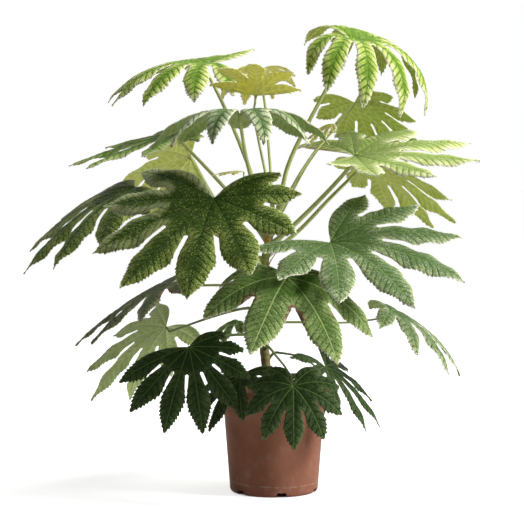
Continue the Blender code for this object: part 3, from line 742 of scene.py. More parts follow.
@dataclass
class Blade:
    """Fine surface of one leaf: toothed lobes round a palm, with veins, bulges and wavy margins."""

    leaf: Leaf
    palm_widths: float = 2.7          # radius of the undivided middle, in half widths of a lobe
    slimming: float = 0.55            # how much of a lobe's shortening its width follows
    shortening: float = 0.35          # how much shorter the outermost lobes are
    shortening_power: float = 1.5
    neck_shape: float = 1.7           # fullness of a lobe towards its base
    outer_base: float = 1.2           # the same on the outer side of the outermost lobes
    tip_shape: float = 1.15           # slenderness towards the tip
    arch: float = 0.25                # how far a lobe's edges curl down
    sinus_round: float = 0.018        # roundness of the fork between two lobes
    neck_blend: float = 0.25          # stretch over which a lobe leaves the palm
    rib_steps: int = 24
    cells_across: int = 10
    palm_rows: int = 10
    rows_per_tooth: int = 3
    tooth_pitch: float = 0.0082
    tooth_depth: float = 0.0026
    tooth_hook: float = 0.0018        # how far a tooth's point leans towards the tip
    tooth_point: int = 8              # how narrowly a tooth keeps to the edge
    tooth_sizes: tuple = (0.5, 1.25)
    tooth_start: tuple = (0.10, 0.20) # shares of a lobe where teeth begin and over which they grow
    tooth_end: float = 0.06           # share of a lobe over which they shrink at its tip
    slant: float = 0.5                # how far the rows run forward towards the margin
    slant_start: float = 0.15         # shares of a lobe over which that slant begins
    slant_end: float = 0.3            # and ends
    valley: float = 0.0016            # depth of the groove along a midrib
    valley_width: float = 0.005
    bulge: float = 0.0006             # height of the skin between two side veins
    bulge_rise: float = 0.006         # distance from the midrib over which it rises
    bulge_fall: float = 0.004         # distance from the edge over which it falls
    wave: float = 0.0019              # height of the margin's waves on a leaf of the usual size
    wave_length: float = 0.05
    wave_start: float = 0.3           # share of a leaf's size over which the waves grow
    usual_size: float = 0.2
    sway: float = 0.03                # sideways bend of a lobe, as a share of its length
    thickness: float = 0.0008

    def __post_init__(self) -> None:
        """Work out the lobes' midribs and their small irregularities."""
        leaf = self.leaf
        self.hub = Vector(leaf.hub)
        self.ahead, self.left, self.top = unit_axes(leaf.turn)
        self.palm = self.palm_widths * leaf.breadth * leaf.size
        places = [2 * lobe / (leaf.lobes - 1) - 1 for lobe in range(leaf.lobes)]
        right, middle, left = leaf.droop
        self.fan = [radians(leaf.spread * (leaf.lobes - 1) / 2 * place) for place in places]
        self.reach = [(1 - self.shortening * abs(place) ** self.shortening_power) * (1 + leaf.skew * place)
                      for place in places]
        self.droop = [blend(middle, left if place > 0 else right, abs(place)) for place in places]
        self.ribs = [self.midrib(lobe) for lobe in range(leaf.lobes)]
        dice = random.Random(leaf.name)
        self.phase = [[dice.uniform(0, 2 * pi) for _ in range(2)] for _ in places]
        self.bend = [dice.uniform(-self.sway, self.sway) for _ in places]
        self.dice = dice

    def half_angle(self, lobe: int, side: int) -> float:
        """Return half the angle between a lobe and its neighbour on one side."""
        return abs(self.fan[lobe + side] - self.fan[lobe]) / 2

    def length(self, lobe: int) -> float:
        """Return the length of a lobe from the hub to its tip."""
        return self.leaf.size * self.reach[lobe]

    def midrib(self, lobe: int) -> list:
        """Bend a lobe's midrib.

        Args:
            lobe: number of the lobe.

        Returns:
            Its points, each with the sideways and upward directions there.
        """
        angle = self.fan[lobe]
        along = cos(angle) * self.ahead + sin(angle) * self.left
        across = cos(angle) * self.left - sin(angle) * self.ahead
        pull = -(Vector((0, 0, 1)) + self.top) / 2
        down = (pull - pull.dot(along) * along).normalized()
        hinge = along.cross(down)
        lift = radians(self.leaf.lift)
        step = self.length(lobe) / self.rib_steps
        rib = []
        point = Vector((0, 0, 0))
        before = None
        for index in range(self.rib_steps + 1):
            bend = (radians(self.droop[lobe]) + 2 * lift) * index / self.rib_steps - lift
            swing = Matrix.Rotation(bend, 3, hinge)
            ahead = swing @ along
            if before:
                point = point + (ahead + before) * (step / 2)
            before = ahead
            rib.append((point, swing @ across, swing @ self.top))
        return rib

    def rib_place(self, lobe: int, along: float, aside: float) -> tuple[Vector, Vector]:
        """Find a place beside a lobe's midrib.

        Args:
            lobe: number of the lobe.
            along: distance from the hub.
            aside: distance from the midrib, to the left.

        Returns:
            The point and the upward direction there.
        """
        rib = self.ribs[lobe]
        spot = clamp(along / self.length(lobe)) * self.rib_steps
        index = min(int(spot), self.rib_steps - 1)
        point, across, top = (blend(a, b, spot - index) for a, b in zip(rib[index], rib[index + 1]))
        return point + across * aside, top

    def outline(self, share: float, start: float) -> float:
        """Give a lobe's outline.

        Args:
            share: share of the lobe's length.
            start: fullness towards its base.

        Returns:
            The width there, 1 at the widest.
        """
        widest = start / (start + self.tip_shape)
        share = clamp(share)
        return (share / widest) ** start * ((1 - share) / (1 - widest)) ** self.tip_shape

    def half_width(self, lobe: int, side: int, along: float) -> tuple[float, float | None]:
        """Measure a lobe on one side of its midrib.

        Args:
            lobe: number of the lobe.
            side: 1 to the left of its midrib, -1 to the right.
            along: distance from the hub.

        Returns:
            Its width, and the width at which it meets its neighbour, if it has one.
        """
        width = self.leaf.breadth * self.leaf.size * blend(1, self.reach[lobe], self.slimming)
        share = along / self.length(lobe)
        if not 0 <= lobe + side < self.leaf.lobes:
            return width * self.outline(share, self.outer_base), None
        slope = tan(self.half_angle(lobe, side))
        border = along * slope
        past = along - self.palm
        if past <= MERGE:
            return border, border
        gap = self.sinus_round * self.leaf.size
        opening = gap * (1 - (1 - clamp(past / gap)) ** 2) ** 0.5
        free = blend(self.palm * slope, width * self.outline(share, self.neck_shape),
                     clamp(past / (self.neck_blend * self.length(lobe))))
        return max(min(border - opening, free), 0.0), border

    def relief(self, lobe: int, side: int, along: float, aside: float, edge: float, across: float) -> float:
        """Raise the grooves, bulges and waves.

        Args:
            lobe: number of the lobe.
            side: 1 to the left of its midrib, -1 to the right.
            along: distance from the hub.
            aside: distance from the midrib.
            edge: distance to the free edge.
            across: share of the way from midrib to edge.

        Returns:
            The height at that place.
        """
        groove = -self.valley * FALL ** (-aside / self.valley_width)
        vein = abs(sin(pi * (along - VEIN_SLOPE * aside) / VEIN_GAP))
        puff = self.bulge * vein * ease(aside / self.bulge_rise) * ease(edge / self.bulge_fall)
        free = ease((along - self.palm) / (self.wave_start * self.leaf.size))
        wave = self.wave * (self.leaf.size / self.usual_size) * free * across * across * sin(
            2 * pi * along / self.wave_length + self.phase[lobe][(side + 1) // 2])
        return groove + puff + wave

    def place(self, lobe: int, row: float, across: float, tooth: float) -> tuple[Vector, tuple, float]:
        """Find a point of the surface.

        Args:
            lobe: number of the lobe.
            row: distance from the hub at which the row crosses the midrib.
            across: from -1 at the lobe's right edge to 1 at its left.
            tooth: how far the edge stands out at this row, from 0 to 1.

        Returns:
            The point, its place on the lobe and its distance to the free edge.
        """
        side = 1 if across > 0 else -1
        length = self.length(lobe)
        begun = ease((row - self.palm) / (self.slant_start * length))
        forward = begun * ease((length - row) / (self.slant_end * length))
        along = row + self.slant * abs(across) * self.half_width(lobe, side, row)[0] * forward
        width, border = self.half_width(lobe, side, along)
        point_out = tooth * across ** self.tooth_point
        aside = abs(across) * width + self.tooth_depth * point_out
        along += self.tooth_hook * point_out
        edge = width - abs(across) * width
        if border is not None and row <= self.palm + MERGE:
            edge = hypot(self.palm - along, self.palm * tan(self.half_angle(lobe, side)) - aside)
        place, top = self.rib_place(lobe, along, side * aside)
        curl = -self.arch * aside * abs(across)
        if border and across:
            shared = clamp(aside / border)
            fade = 1 - clamp((along - self.palm) / (self.neck_blend * self.leaf.size))
            weight = 0.5 * shared * shared * (3 - 2 * shared) * fade
            other = lobe + side
            turn = self.fan[lobe] - self.fan[other]
            beside = self.rib_place(other, along * cos(turn) - side * aside * sin(turn),
                                    along * sin(turn) + side * aside * cos(turn))
            place = blend(place, beside[0], weight)
            top = blend(top, beside[1], weight)
            curl *= 1 - fade
        past = clamp((along - self.palm) / (length - self.palm))
        drift = self.ribs[lobe][-1][1] * self.bend[lobe] * length * past * past
        height = curl + self.relief(lobe, side, along, aside, edge, abs(across))
        return self.hub + place + drift + top * height, (side * aside, along), edge

    def rows(self, lobe: int) -> list[tuple[float, float]]:
        """Lay out the rows of a lobe, from the hub to its tip.

        Args:
            lobe: number of the lobe.

        Returns:
            Each row's distance from the hub, and how far the edge stands out there.
        """
        free = self.length(lobe) - self.palm
        teeth = max(round(free / self.tooth_pitch), 4)
        count = teeth * self.rows_per_tooth
        rows = [(self.palm * index / self.palm_rows, 0.0) for index in range(self.palm_rows + 1)]
        begin, growth = self.tooth_start
        size = 1.0
        for index in range(1, count + 1):
            share = index / count
            step = index % self.rows_per_tooth
            if step == 0:
                size = self.dice.uniform(*self.tooth_sizes)
            rise = step / (self.rows_per_tooth - 1)
            present = ease((share - begin) / growth) * ease((1 - share) / self.tooth_end)
            rows.append((self.palm + free * share, size * rise * present))
        return rows

    def build(self, finishes: tuple[bpy.types.Material, bpy.types.Material]) -> bpy.types.Object:
        """Make the blade.

        Args:
            finishes: materials of its upper and lower face.

        Returns:
            Its object.
        """
        sheet = bmesh.new()
        blade_map = sheet.loops.layers.uv.new("blade")
        rim_map = sheet.loops.layers.uv.new("rim")
        for lobe in range(self.leaf.lobes):
            rows = self.rows(lobe)
            last = len(rows) - 1
            grid = bmesh.ops.create_grid(sheet, x_segments=self.cells_across, y_segments=last, size=1)
            places = {}
            for vert in grid["verts"]:
                row, tooth = rows[round((vert.co.y + 1) / 2 * last)]
                vert.co, spot, edge = self.place(lobe, row, vert.co.x, tooth)
                places[vert] = (spot, (edge, lobe))
            for face in {face for vert in grid["verts"] for face in vert.link_faces}:
                for loop in face.loops:
                    loop[blade_map].uv, loop[rim_map].uv = places[loop.vert]
        bmesh.ops.remove_doubles(sheet, verts=sheet.verts[:], dist=MERGE)
        bmesh.ops.reverse_faces(sheet, faces=sheet.faces[:])
        return thickened(finished("leaf_" + self.leaf.name, sheet, *finishes), self.thickness, UNDERSIDE)


@dataclass
class Trunk:
    """Woody stem with leaf scars, and the dry bracts on it."""

    centre: tuple = (                 # x, height and radius along the centre line
        (-0.013, 0.12, 0.0085), (-0.013, 0.155, 0.0085), (-0.013, 0.205, 0.0078),
        (-0.016, 0.24, 0.008), (-0.018, 0.3, 0.0075), (-0.019, 0.35, 0.0075),
        (-0.013, 0.395, 0.0068), (-0.004, 0.44, 0.006), (0.0, 0.468, 0.004))
    steps: int = 20
    sides: int = 32
    scar_gap: float = 0.0115          # height between two leaf scars
    scar_depth: float = 0.0007
    scar_tilt: float = 0.18           # how far a scar rises and falls round the trunk, in gaps
    scar_twist: float = 90            # radians by which that turns in a metre of height
    scar_unevenness: float = 0.5
    lumps: float = 60                 # coarse lumps in a metre of height
    fineness: float = 2.3             # how much finer the roughness is than the lumps
    roughness: float = 0.0004
    bracts: tuple = (                 # name, height of the base, direction faced and length
        ("lower", 0.37, -20, 0.026), ("upper", 0.414, -110, 0.016))
    bract_grid: tuple = (10, 18)
    bract_width: float = 0.0055
    bract_taper: float = 0.6
    bract_fraying: float = 0.25       # unevenness of its edges, as a share of its width
    bract_thickness: float = 0.0005
    bract_lean: float = 0.3           # how far its tip stands off, as a share of its length
    bract_gap: float = 0.0009
    bract_curl: float = 0.0012

    def __post_init__(self) -> None:
        """Work out the centre line and the radius along it."""
        self.path = smooth_path([Vector((x, 0, height)) for x, height, _ in self.centre], self.steps)
        sizes = [radius for _, _, radius in self.centre]
        self.radii = [blend(low, high, step / self.steps) for low, high in zip(sizes, sizes[1:])
                      for step in range(self.steps)] + sizes[-1:]

    def level(self, height: float) -> int:
        """Return the index of the point of the path nearest to a height."""
        return min(range(len(self.path)), key=lambda index: abs(self.path[index].z - height))

    def at(self, height: float) -> Vector:
        """Return the trunk's centre at a height."""
        return self.path[self.level(height)].copy()

    def radius_at(self, height: float) -> float:
        """Return the trunk's radius at a height."""
        return self.radii[self.level(height)]

    def radius(self, index: int, around: float) -> float:
        """Ridge the trunk's surface at its leaf scars.

        Args:
            index: index of a point of the path.
            around: angle round it, in turns.

        Returns:
            The radius there.
        """
        height = self.path[index].z
        spot = Vector((cos(2 * pi * around), sin(2 * pi * around), height * self.lumps))
        tilt = self.scar_tilt * sin(2 * pi * around + height * self.scar_twist)
        scar = abs(sin(pi * (height / self.scar_gap + tilt)))
        knob = self.scar_depth * (1 - scar) ** 2
        knob *= 1 + self.scar_unevenness * noise.noise(spot)
        return self.radii[index] + knob + self.roughness * (noise.noise(spot * self.fineness) - 0.5)

    def build(self, finish: bpy.types.Material) -> bpy.types.Object:
        """Return the trunk's object."""
        return finished("trunk_bark", sweep(self.path, self.radius, self.sides), finish)

    def build_bract(self, name: str, foot: float, facing: float, length: float,
                    finish: bpy.types.Material) -> bpy.types.Object:
        """Make a dry bract.

        Args:
            name: which bract.
            foot: height of its base.
            facing: direction it faces, degrees.
            length: its length.
            finish: its material.

        Returns:
            Its object.
        """
        sheet = bmesh.new()
        columns, rows = self.bract_grid
        grid = bmesh.ops.create_grid(sheet, x_segments=columns, y_segments=rows, size=1)
        for vert in grid["verts"]:
            across, rise = vert.co.x, (vert.co.y + 1) / 2
            frayed = 1 + self.bract_fraying * noise.noise(Vector((across * 2, rise * 9, foot * 40)))
            aside = across * self.bract_width * (1 - rise) ** self.bract_taper * frayed
            out = (self.radius_at(foot) + self.bract_gap + self.bract_lean * length * rise * rise
                   + self.bract_curl * across * across * rise)
            centre = self.at(foot + length * rise)
            centre.z = foot + length * rise
            vert.co = centre + compass(radians(facing) + aside / out) * out
        bmesh.ops.remove_doubles(sheet, verts=sheet.verts[:], dist=MERGE)
        return thickened(finished("dry_bract_" + name, sheet, finish), self.bract_thickness)

    def assemble(self) -> None:
        """Make and dress the trunk and its bracts."""
        dress(self.build(BarkFinish().material()), "green_bark", "trunk")
        dry = BractFinish().material()
        for name, foot, facing, length in self.bracts:
            dress(self.build_bract(name, foot, facing, length, dry), "dry_bract", "bract_" + name)


@dataclass
class Stalk:
    """Stalk of one leaf, swollen where it clasps the trunk and where it meets its blade."""

    leaf: Leaf
    trunk: Trunk
    blade: Blade
    steps: int = 10
    sides: int = 12
    neck: float = 0.012               # length of the straight end under the blade
    neck_steps: int = 6
    top_radius: float = 0.7           # radius under the blade, as a share of that at the trunk
    clasp: float = 0.5                # extra radius at the trunk, as a share
    clasp_length: float = 0.014
    cushion: float = 0.35             # extra radius under the blade, as a share
    cushion_length: float = 0.006
    ridges: int = 5
    ridge_height: float = 0.04        # as a share of the radius

    def path(self) -> list[Vector]:
        """Lead the stalk from the trunk to its blade.

        Returns:
            Points of its centre line.
        """
        top = self.blade.top
        route = [self.trunk.at(self.leaf.rise)] + [Vector(point) for point in self.leaf.stalk]
        route.append(self.blade.hub - top * self.neck)
        path = smooth_path(route, self.steps)
        seat = self.blade.hub - top * (self.blade.thickness / 2 + self.blade.valley)
        return path + [blend(path[-1], seat, (step + 1) / self.neck_steps) for step in range(self.neck_steps)]

    def build(self, finish: bpy.types.Material) -> bpy.types.Object:
        """Make the stalk.

        Args:
            finish: its material.

        Returns:
            Its object.
        """
        path = self.path()
        gone = [0.0]
        for first, second in zip(path, path[1:]):
            gone.append(gone[-1] + (second - first).length)
        whole = gone[-1]

        def radius(index: int, around: float) -> float:
            """Swell the stalk at both ends.

            Args:
                index: index of a point of the path.
                around: angle round it, in turns.

            Returns:
                The radius there.
            """
            share = gone[index] / whole
            foot = max(gone[index] - self.trunk.radius_at(self.leaf.rise), 0)
            clasp = self.clasp * FALL ** (-foot / self.clasp_length)
            cushion = self.cushion * ease(1 - (whole - gone[index]) / self.cushion_length)
            ridge = 1 + self.ridge_height * cos(2 * pi * around * self.ridges)
            return self.leaf.radius * blend(1, self.top_radius, share) * (1 + clasp + cushion) * ridge

        return finished("petiole_" + self.leaf.name, sweep(path, radius, self.sides), finish)


@dataclass(frozen=True)
class EarthFinish:
    """Earthy, rough finish."""

    name: str
    dark: Colour          # in the hollows
    light: Colour         # on the crumbs

    def material(self) -> bpy.types.Material:
        """Make the material.

        Returns:
            The finished material.
        """
        sheet = NodeSheet(self.name)
        skin = sheet.layers(self.dark, (sheet.clouds(420, 5, 0.7), self.light))
        sheet.bump(sheet.noise(900, 5, 0.7), 0.0015)
        return sheet.finish(skin, sheet.noise(200, 2) * 0.1 + 0.85)


@dataclass
class Pot:
    """Turned plastic nursery pot with drain notches, and the soil in it."""

    height: float = 0.175
    rim_radius: float = 0.095
    rim_round: float = 0.0012
    collar_height: float = 0.045
    collar_radius: float = 0.0850
    step_drop: float = 0.0015
    wall_radius: float = 0.0826
    heel_radius: float = 0.0730
    heel_round: float = 0.0065
    heel_first: float = -5            # where the heel's arc begins, degrees
    wall: float = 0.0018
    foot_width: float = 0.0050
    foot_draft: float = 0.0010
    foot_height: float = 0.0095
    pad_radius: float = 0.028         # flat pad in the middle, which the pot also stands on
    pad_draft: float = 0.0010
    notches: int = 6
    notch_height: float = 0.0078
    notch_width: tuple = (0.022, 0.014)
    notch_start: float = -80
    hole_radius: float = 0.005
    hole_ring: float = 0.046          # distance of the holes from the pot's axis
    hole_sides: int = 24
    soil_top: float = 0.151
    soil_crown: float = 0.004
    crown_slope: float = 1.3          # how steeply the crown rises from the wall
    soil_lumps: tuple = ((0.0016, 70), (0.0011, 210))   # height and number in a metre
    lump_slope: float = 20            # how steeply the lumps rise from the wall
    grain_margin: float = 0.003       # distance that grains keep from the wall
    grain_stretch: tuple = (0.8, 1.6) # how long a grain can be, in its widths
    grain_lift: float = 0.3           # how far its middle lies above the soil, as a share of half its height
    soil_rings: int = 44
    soil_sides: int = 132
    sides: int = 120
    smooth_angle: float = 32          # edges sharper than this many degrees stay sharp

    def arc(self, centre: tuple, radius: float, start: float, end: float, steps: int) -> list:
        """Return points of an arc of the section, from start to end in degrees."""
        angles = [radians(blend(start, end, step / steps)) for step in range(steps + 1)]
        return [(centre[0] + radius * cos(angle), centre[1] + radius * sin(angle)) for angle in angles]

    @property
    def shoulder(self) -> float:
        """Height of the collar's lower edge."""
        return self.height - self.collar_height

    def profile(self) -> list[tuple[float, float]]:
        """Draw the section: outside from the rim down, under the floor and up inside.

        Returns:
            Its points, as (radius, height).
        """
        shoulder = self.shoulder
        lip = self.rim_round
        rim = self.arc((self.rim_radius - lip, self.height - lip), lip, 90, 0, 5)
        step = [(self.collar_radius + 0.0001, shoulder + 0.0007), (self.collar_radius - 0.0003, shoulder),
                (self.wall_radius + 0.0004, shoulder - self.step_drop * 0.7),
                (self.wall_radius, shoulder - self.step_drop - 0.0004)]
        turn = self.heel_round
        heel = self.arc((self.heel_radius - turn, turn), turn, self.heel_first, -90, 8)
        foot = self.heel_radius - turn
        under = [(foot - self.foot_width, 0), (foot - self.foot_width - self.foot_draft, self.foot_height),
                 (self.pad_radius + self.pad_draft, self.foot_height), (self.pad_radius, 0), (0, 0)]
        inset = self.wall
        inside = [(0, inset), (self.pad_radius - inset, inset),
                  (self.pad_radius + self.pad_draft - inset, self.foot_height + inset),
                  (self.heel_radius - inset - 0.0022, self.foot_height + inset),
                  (self.heel_radius - inset, self.foot_height + inset + 0.0025),
                  (self.wall_radius - inset, shoulder - self.step_drop),
                  (self.collar_radius - inset, shoulder + self.step_drop / 2),
                  (self.rim_radius - inset, self.height - 0.0006),
                  (self.rim_radius - inset + 0.0005, self.height)]
        return rim + step + heel + under + inside

    def notch_bars(self) -> bmesh.types.BMesh:
        """Make the bars that cut the drain notches and holes.

        Returns:
            Their bmesh.
        """
        shape = bmesh.new()
        low, high = (width / 2 for width in self.notch_width)
        for index in range(self.notches):
            angle = radians(self.notch_start) + 2 * pi * index / self.notches
            out, aside = compass(angle), compass(angle + pi / 2)
            corners = ((-low, -self.wall), (low, -self.wall), (high, self.notch_height),
                       (-high, self.notch_height))
            face = shape.faces.new([shape.verts.new(out * self.hole_ring + aside * x + Vector((0, 0, z)))
                                    for x, z in corners])
            pushed = bmesh.ops.extrude_face_region(shape, geom=[face])
            moved = [item for item in pushed["geom"] if isinstance(item, bmesh.types.BMVert)]
            bmesh.ops.translate(shape, verts=moved, vec=out * (self.rim_radius - self.hole_ring))
            hole = bmesh.ops.create_cone(shape, cap_ends=True, segments=self.hole_sides, depth=4 * self.wall,
                                         radius1=self.hole_radius, radius2=self.hole_radius)
            middle = out * self.hole_ring + Vector((0, 0, self.foot_height + self.wall / 2))
            bmesh.ops.translate(shape, verts=hole["verts"], vec=middle)
        bmesh.ops.recalc_face_normals(shape, faces=shape.faces[:])
        return shape

    def build(self, finish: bpy.types.Material) -> bpy.types.Object:
        """Make the pot and cut its notches and holes.

        Args:
            finish: its material.

        Returns:
            Its object.
        """
        pot = finished("nursery_pot", turned(self.profile(), self.sides), finish)
        bars = finished("drain_bars", self.notch_bars())
        cut = pot.modifiers.new("drains", "BOOLEAN")
        cut.operation = "DIFFERENCE"
        cut.object = bars
        cut.solver = "EXACT"
        graph = bpy.context.evaluated_depsgraph_get()
        mesh = bpy.data.meshes.new_from_object(pot.evaluated_get(graph))
        pot.modifiers.clear()
        pot.data = mesh
        bpy.data.objects.remove(bars)
        mesh.shade_smooth()
        mesh.set_sharp_from_angle(angle=radians(self.smooth_angle))
        return pot

    def soil_radius(self) -> float:
        """Return the radius of the soil's surface at the pot's wall."""
        share = (self.soil_top - self.shoulder) / self.collar_height
        return blend(self.collar_radius, self.rim_radius, share) - self.wall

    def soil_height(self, x: float, y: float) -> float:
        """Shape the lumpy surface of the soil.

        Args:
            x: place to the right of the pot's axis.
            y: place behind it.

        Returns:
            The height there.
        """
        reach = hypot(x, y) / self.soil_radius()
        mound = self.soil_crown * ease(self.crown_slope * (1 - reach))
        spot = Vector((x, y, 0))
        lumps = sum(height * noise.noise(spot * rate) for height, rate in self.soil_lumps)
        return self.soil_top + mound + lumps * ease((1 - reach) * self.lump_slope)

    def build_soil(self, finish: bpy.types.Material) -> bpy.types.Object:
        """Make the soil: a lumpy top over a plain body.

        Args:
            finish: its material.

        Returns:
            Its object.
        """
        low = self.shoulder - self.collar_height
        body = [(0, low), (self.heel_radius - self.wall, low),
                (self.collar_radius - self.wall, self.shoulder + 0.002)]
        top = [(self.soil_radius() * (1 - step / self.soil_rings), self.soil_top)
               for step in range(self.soil_rings + 1)]
        shape = turned(body + top, self.soil_sides)
        for vert in shape.verts:
            if vert.co.z > self.soil_top - MERGE:
                vert.co.z = self.soil_height(vert.co.x, vert.co.y)
        return finished("potting_mix", shape, finish)

    def build_grains(self, name: str, finish: bpy.types.Material, count: int, sizes: tuple,
                     flat: float) -> bpy.types.Object:
        """Strew loose grains over the soil.

        Args:
            name: the object's name.
            finish: its material.
            count: number of grains.
            sizes: smallest and largest radius.
            flat: how much flatter than round they are.

        Returns:
            Their object.
        """
        dice = random.Random(name)
        shape = bmesh.new()
        for _ in range(count):
            reach = (self.soil_radius() - self.grain_margin) * dice.random() ** 0.5
            angle = dice.uniform(0, 2 * pi)
            size = dice.uniform(*sizes)
            x, y = reach * cos(angle), reach * sin(angle)
            turn = Matrix.Rotation(dice.uniform(0, pi), 4, Vector((dice.random(), dice.random(), 1)))
            form = Matrix.Diagonal((size * dice.uniform(*self.grain_stretch), size, size * flat, 1))
            place = Matrix.Translation((x, y, self.soil_height(x, y) + size * flat * self.grain_lift))
            bmesh.ops.create_icosphere(shape, subdivisions=1, radius=1, matrix=place @ turn @ form)
        return finished(name, shape, finish)

    def assemble(self) -> None:
        """Make and dress the pot, its soil and the grains on it."""
        dress(self.build(PotFinish().material()), "terracotta_plastic", "pot")
        earth = EarthFinish("potting_mix", dark=(0.012, 0.008, 0.005), light=(0.052, 0.034, 0.021)).material()
        chips = EarthFinish("bark_chips", dark=(0.06, 0.03, 0.014), light=(0.18, 0.105, 0.052)).material()
        grit = EarthFinish("perlite", dark=(0.52, 0.5, 0.45), light=(0.76, 0.75, 0.71)).material()
        dress(self.build_soil(earth), "potting_soil", "soil")
        for name, finish, count, sizes, flat in (
                ("soil_crumbs", earth, 520, (0.0007, 0.0022), 0.8),
                ("bark_chips", chips, 70, (0.0015, 0.0042), 0.35),
                ("perlite", grit, 60, (0.0007, 0.0016), 0.9)):
            dress(self.build_grains(name, finish, count, sizes, flat), "potting_soil")


@dataclass(frozen=True)
class BarkFinish:
    """Olive-green bark of the trunk, ringed at its leaf scars."""

    skin: Colour = (0.24, 0.3, 0.06)
    patch: Colour = (0.42, 0.45, 0.14)
    scar: Colour = (0.16, 0.105, 0.045)
    fleck: Colour = (0.33, 0.3, 0.17)
    foot: Colour = (0.21, 0.115, 0.045)    # brown of the older bark
    foot_reach: tuple = (0.3, 0.215)       # heights between which it begins

    def material(self) -> bpy.types.Material:
        """Make the material.

        Returns:
            The finished material.
        """
        sheet = NodeSheet("trunk_bark")
        height = sheet.parts(sheet.place())[2] + sheet.noise(120) * 0.006
        ring = height.waves(Trunk.scar_gap)
        skin = sheet.layers(self.skin, (sheet.clouds(95, 4), self.patch),
                            (ring.ramp(0.09, 0.0) * 0.7, self.scar),
                            (sheet.noise(700, 2).ramp(0.62, 0.7) * 0.5, self.fleck),
                            (height.ramp(*self.foot_reach) * 0.75, self.foot))
        sheet.bump(sheet.noise(500, 4) + ring * 0.8, 0.0008, 0.7)
        return sheet.finish(skin, sheet.noise(140, 2) * 0.25 + 0.45)


@dataclass(frozen=True)
class StalkFinish:
    """Smooth, streaked green of the stalks."""

    pale: Colour = (0.58, 0.64, 0.2)
    dark: Colour = (0.22, 0.3, 0.08)
    pale_reach: tuple = (0.24, 0.36)       # heights between which dark gives way to pale
    streak: Colour = (0.03, 0.06, 0.012)
    fleck: Colour = (0.42, 0.44, 0.2)

    def material(self) -> bpy.types.Material:
        """Make the material.

        Returns:
            The finished material.
        """
        sheet = NodeSheet("stalk_green")
        around, along = sheet.unwrapped("length")
        stretched = sheet.add("CombineXYZ", {0: around * 9, 1: along * 3})
        streaks = sheet.noise(1, 3, 0.6, stretched.outputs[0])
        height = sheet.parts(sheet.place())[2]
        plain = sheet.layers(self.dark, (height.ramp(*self.pale_reach), self.pale))
        skin = sheet.layers(plain, (0.45, self.streak), (streaks.ramp(0.35, 0.65), plain),
                            (sheet.noise(900, 2).ramp(0.6, 0.7) * 0.45, self.fleck))
        sheet.bump(streaks, 0.0003, 0.5)
        return sheet.finish(skin, sheet.noise(80, 2) * 0.2 + 0.3, Subsurface_Weight=0.1,
                            Subsurface_Scale=0.003)


@dataclass(frozen=True)
class BractFinish:
    """Papery brown of the dry bracts."""

    dark: Colour = (0.3, 0.14, 0.03)
    light: Colour = (0.64, 0.4, 0.12)
    spot: Colour = (0.06, 0.03, 0.014)

    def material(self) -> bpy.types.Material:
        """Make the material.

        Returns:
            The finished material.
        """
        sheet = NodeSheet("dry_bract")
        skin = sheet.layers(self.dark, (sheet.clouds(260, 4), self.light),
                            (sheet.noise(900).ramp(0.55, 0.7) * 0.5, self.spot))
        sheet.bump(sheet.noise(700, 4), 0.0005, 0.8)
        return sheet.finish(skin, sheet.noise(300, 2) * 0.2 + 0.65, Subsurface_Weight=0.1,
                            Subsurface_Scale=0.002)


@dataclass(frozen=True)
class PotFinish:
    """Terracotta-coloured plastic of the pot, dusty and faintly marked by use."""

    skin: Colour = (0.27, 0.108, 0.066)
    patch: Colour = (0.33, 0.14, 0.088)
    dust: Colour = (0.42, 0.3, 0.23)
    dust_reach: tuple = (0.06, 0.0)        # heights between which it thickens towards the foot
    scuff: Colour = (0.52, 0.4, 0.32)
    scuff_height: float = 0.0235           # where the line worn by handling runs
    speck: Colour = (0.2, 0.08, 0.055)
    flattening: float = 14                 # how much flatter than wide the moulding lines are

    def material(self) -> bpy.types.Material:
        """Make the material.

        Returns:
            The finished material.
        """
        sheet = NodeSheet("terracotta_plastic")
        height = sheet.parts(sheet.place())[2]
        dust = sheet.noise(55, 5, 0.65).ramp(0.52, 0.7)
        off = abs(sheet.noise(9, 2) * 0.01 + height - self.scuff_height)
        scuff = off.ramp(0.0016, 0.0003) * sheet.noise(60).ramp(0.42, 0.58)
        skin = sheet.layers(self.skin, (sheet.clouds(14, 4), self.patch),
                            (dust * (height.ramp(*self.dust_reach) * 0.35 + 0.14), self.dust),
                            (scuff * 0.55, self.scuff),
                            (sheet.noise(1100, 2).ramp(0.66, 0.72) * 0.35, self.speck))
        flat = sheet.add("Mapping", {"Vector": sheet.place(), "Scale": (1, 1, self.flattening)})
        lines = sheet.noise(90, 3, 0.6, flat.outputs[0])
        sheet.bump(lines * 0.5 + sheet.noise(1600, 2), 0.0002, 0.5)
        rough = dust * 0.18 + (sheet.noise(40) * 0.14 + 0.44)
        return sheet.finish(skin, rough, Specular_IOR_Level=0.05)


@dataclass
class Foliage:
    """All leaves, each a blade on its stalk."""

    trunk: Trunk

    def assemble(self) -> None:
        """Make and dress the leaves."""
        faces = {tone: (finish.top(), finish.underside()) for tone, finish in LEAF_FINISHES.items()}
        green = StalkFinish().material()
        for leaf in LEAVES:
            blade = Blade(leaf)
            dress(blade.build(faces[leaf.tone]), LEAF_FINISHES[leaf.tone].slot, "blade_" + leaf.name)
            dress(Stalk(leaf, self.trunk, blade).build(green), "stalk_green", "stalk_" + leaf.name)


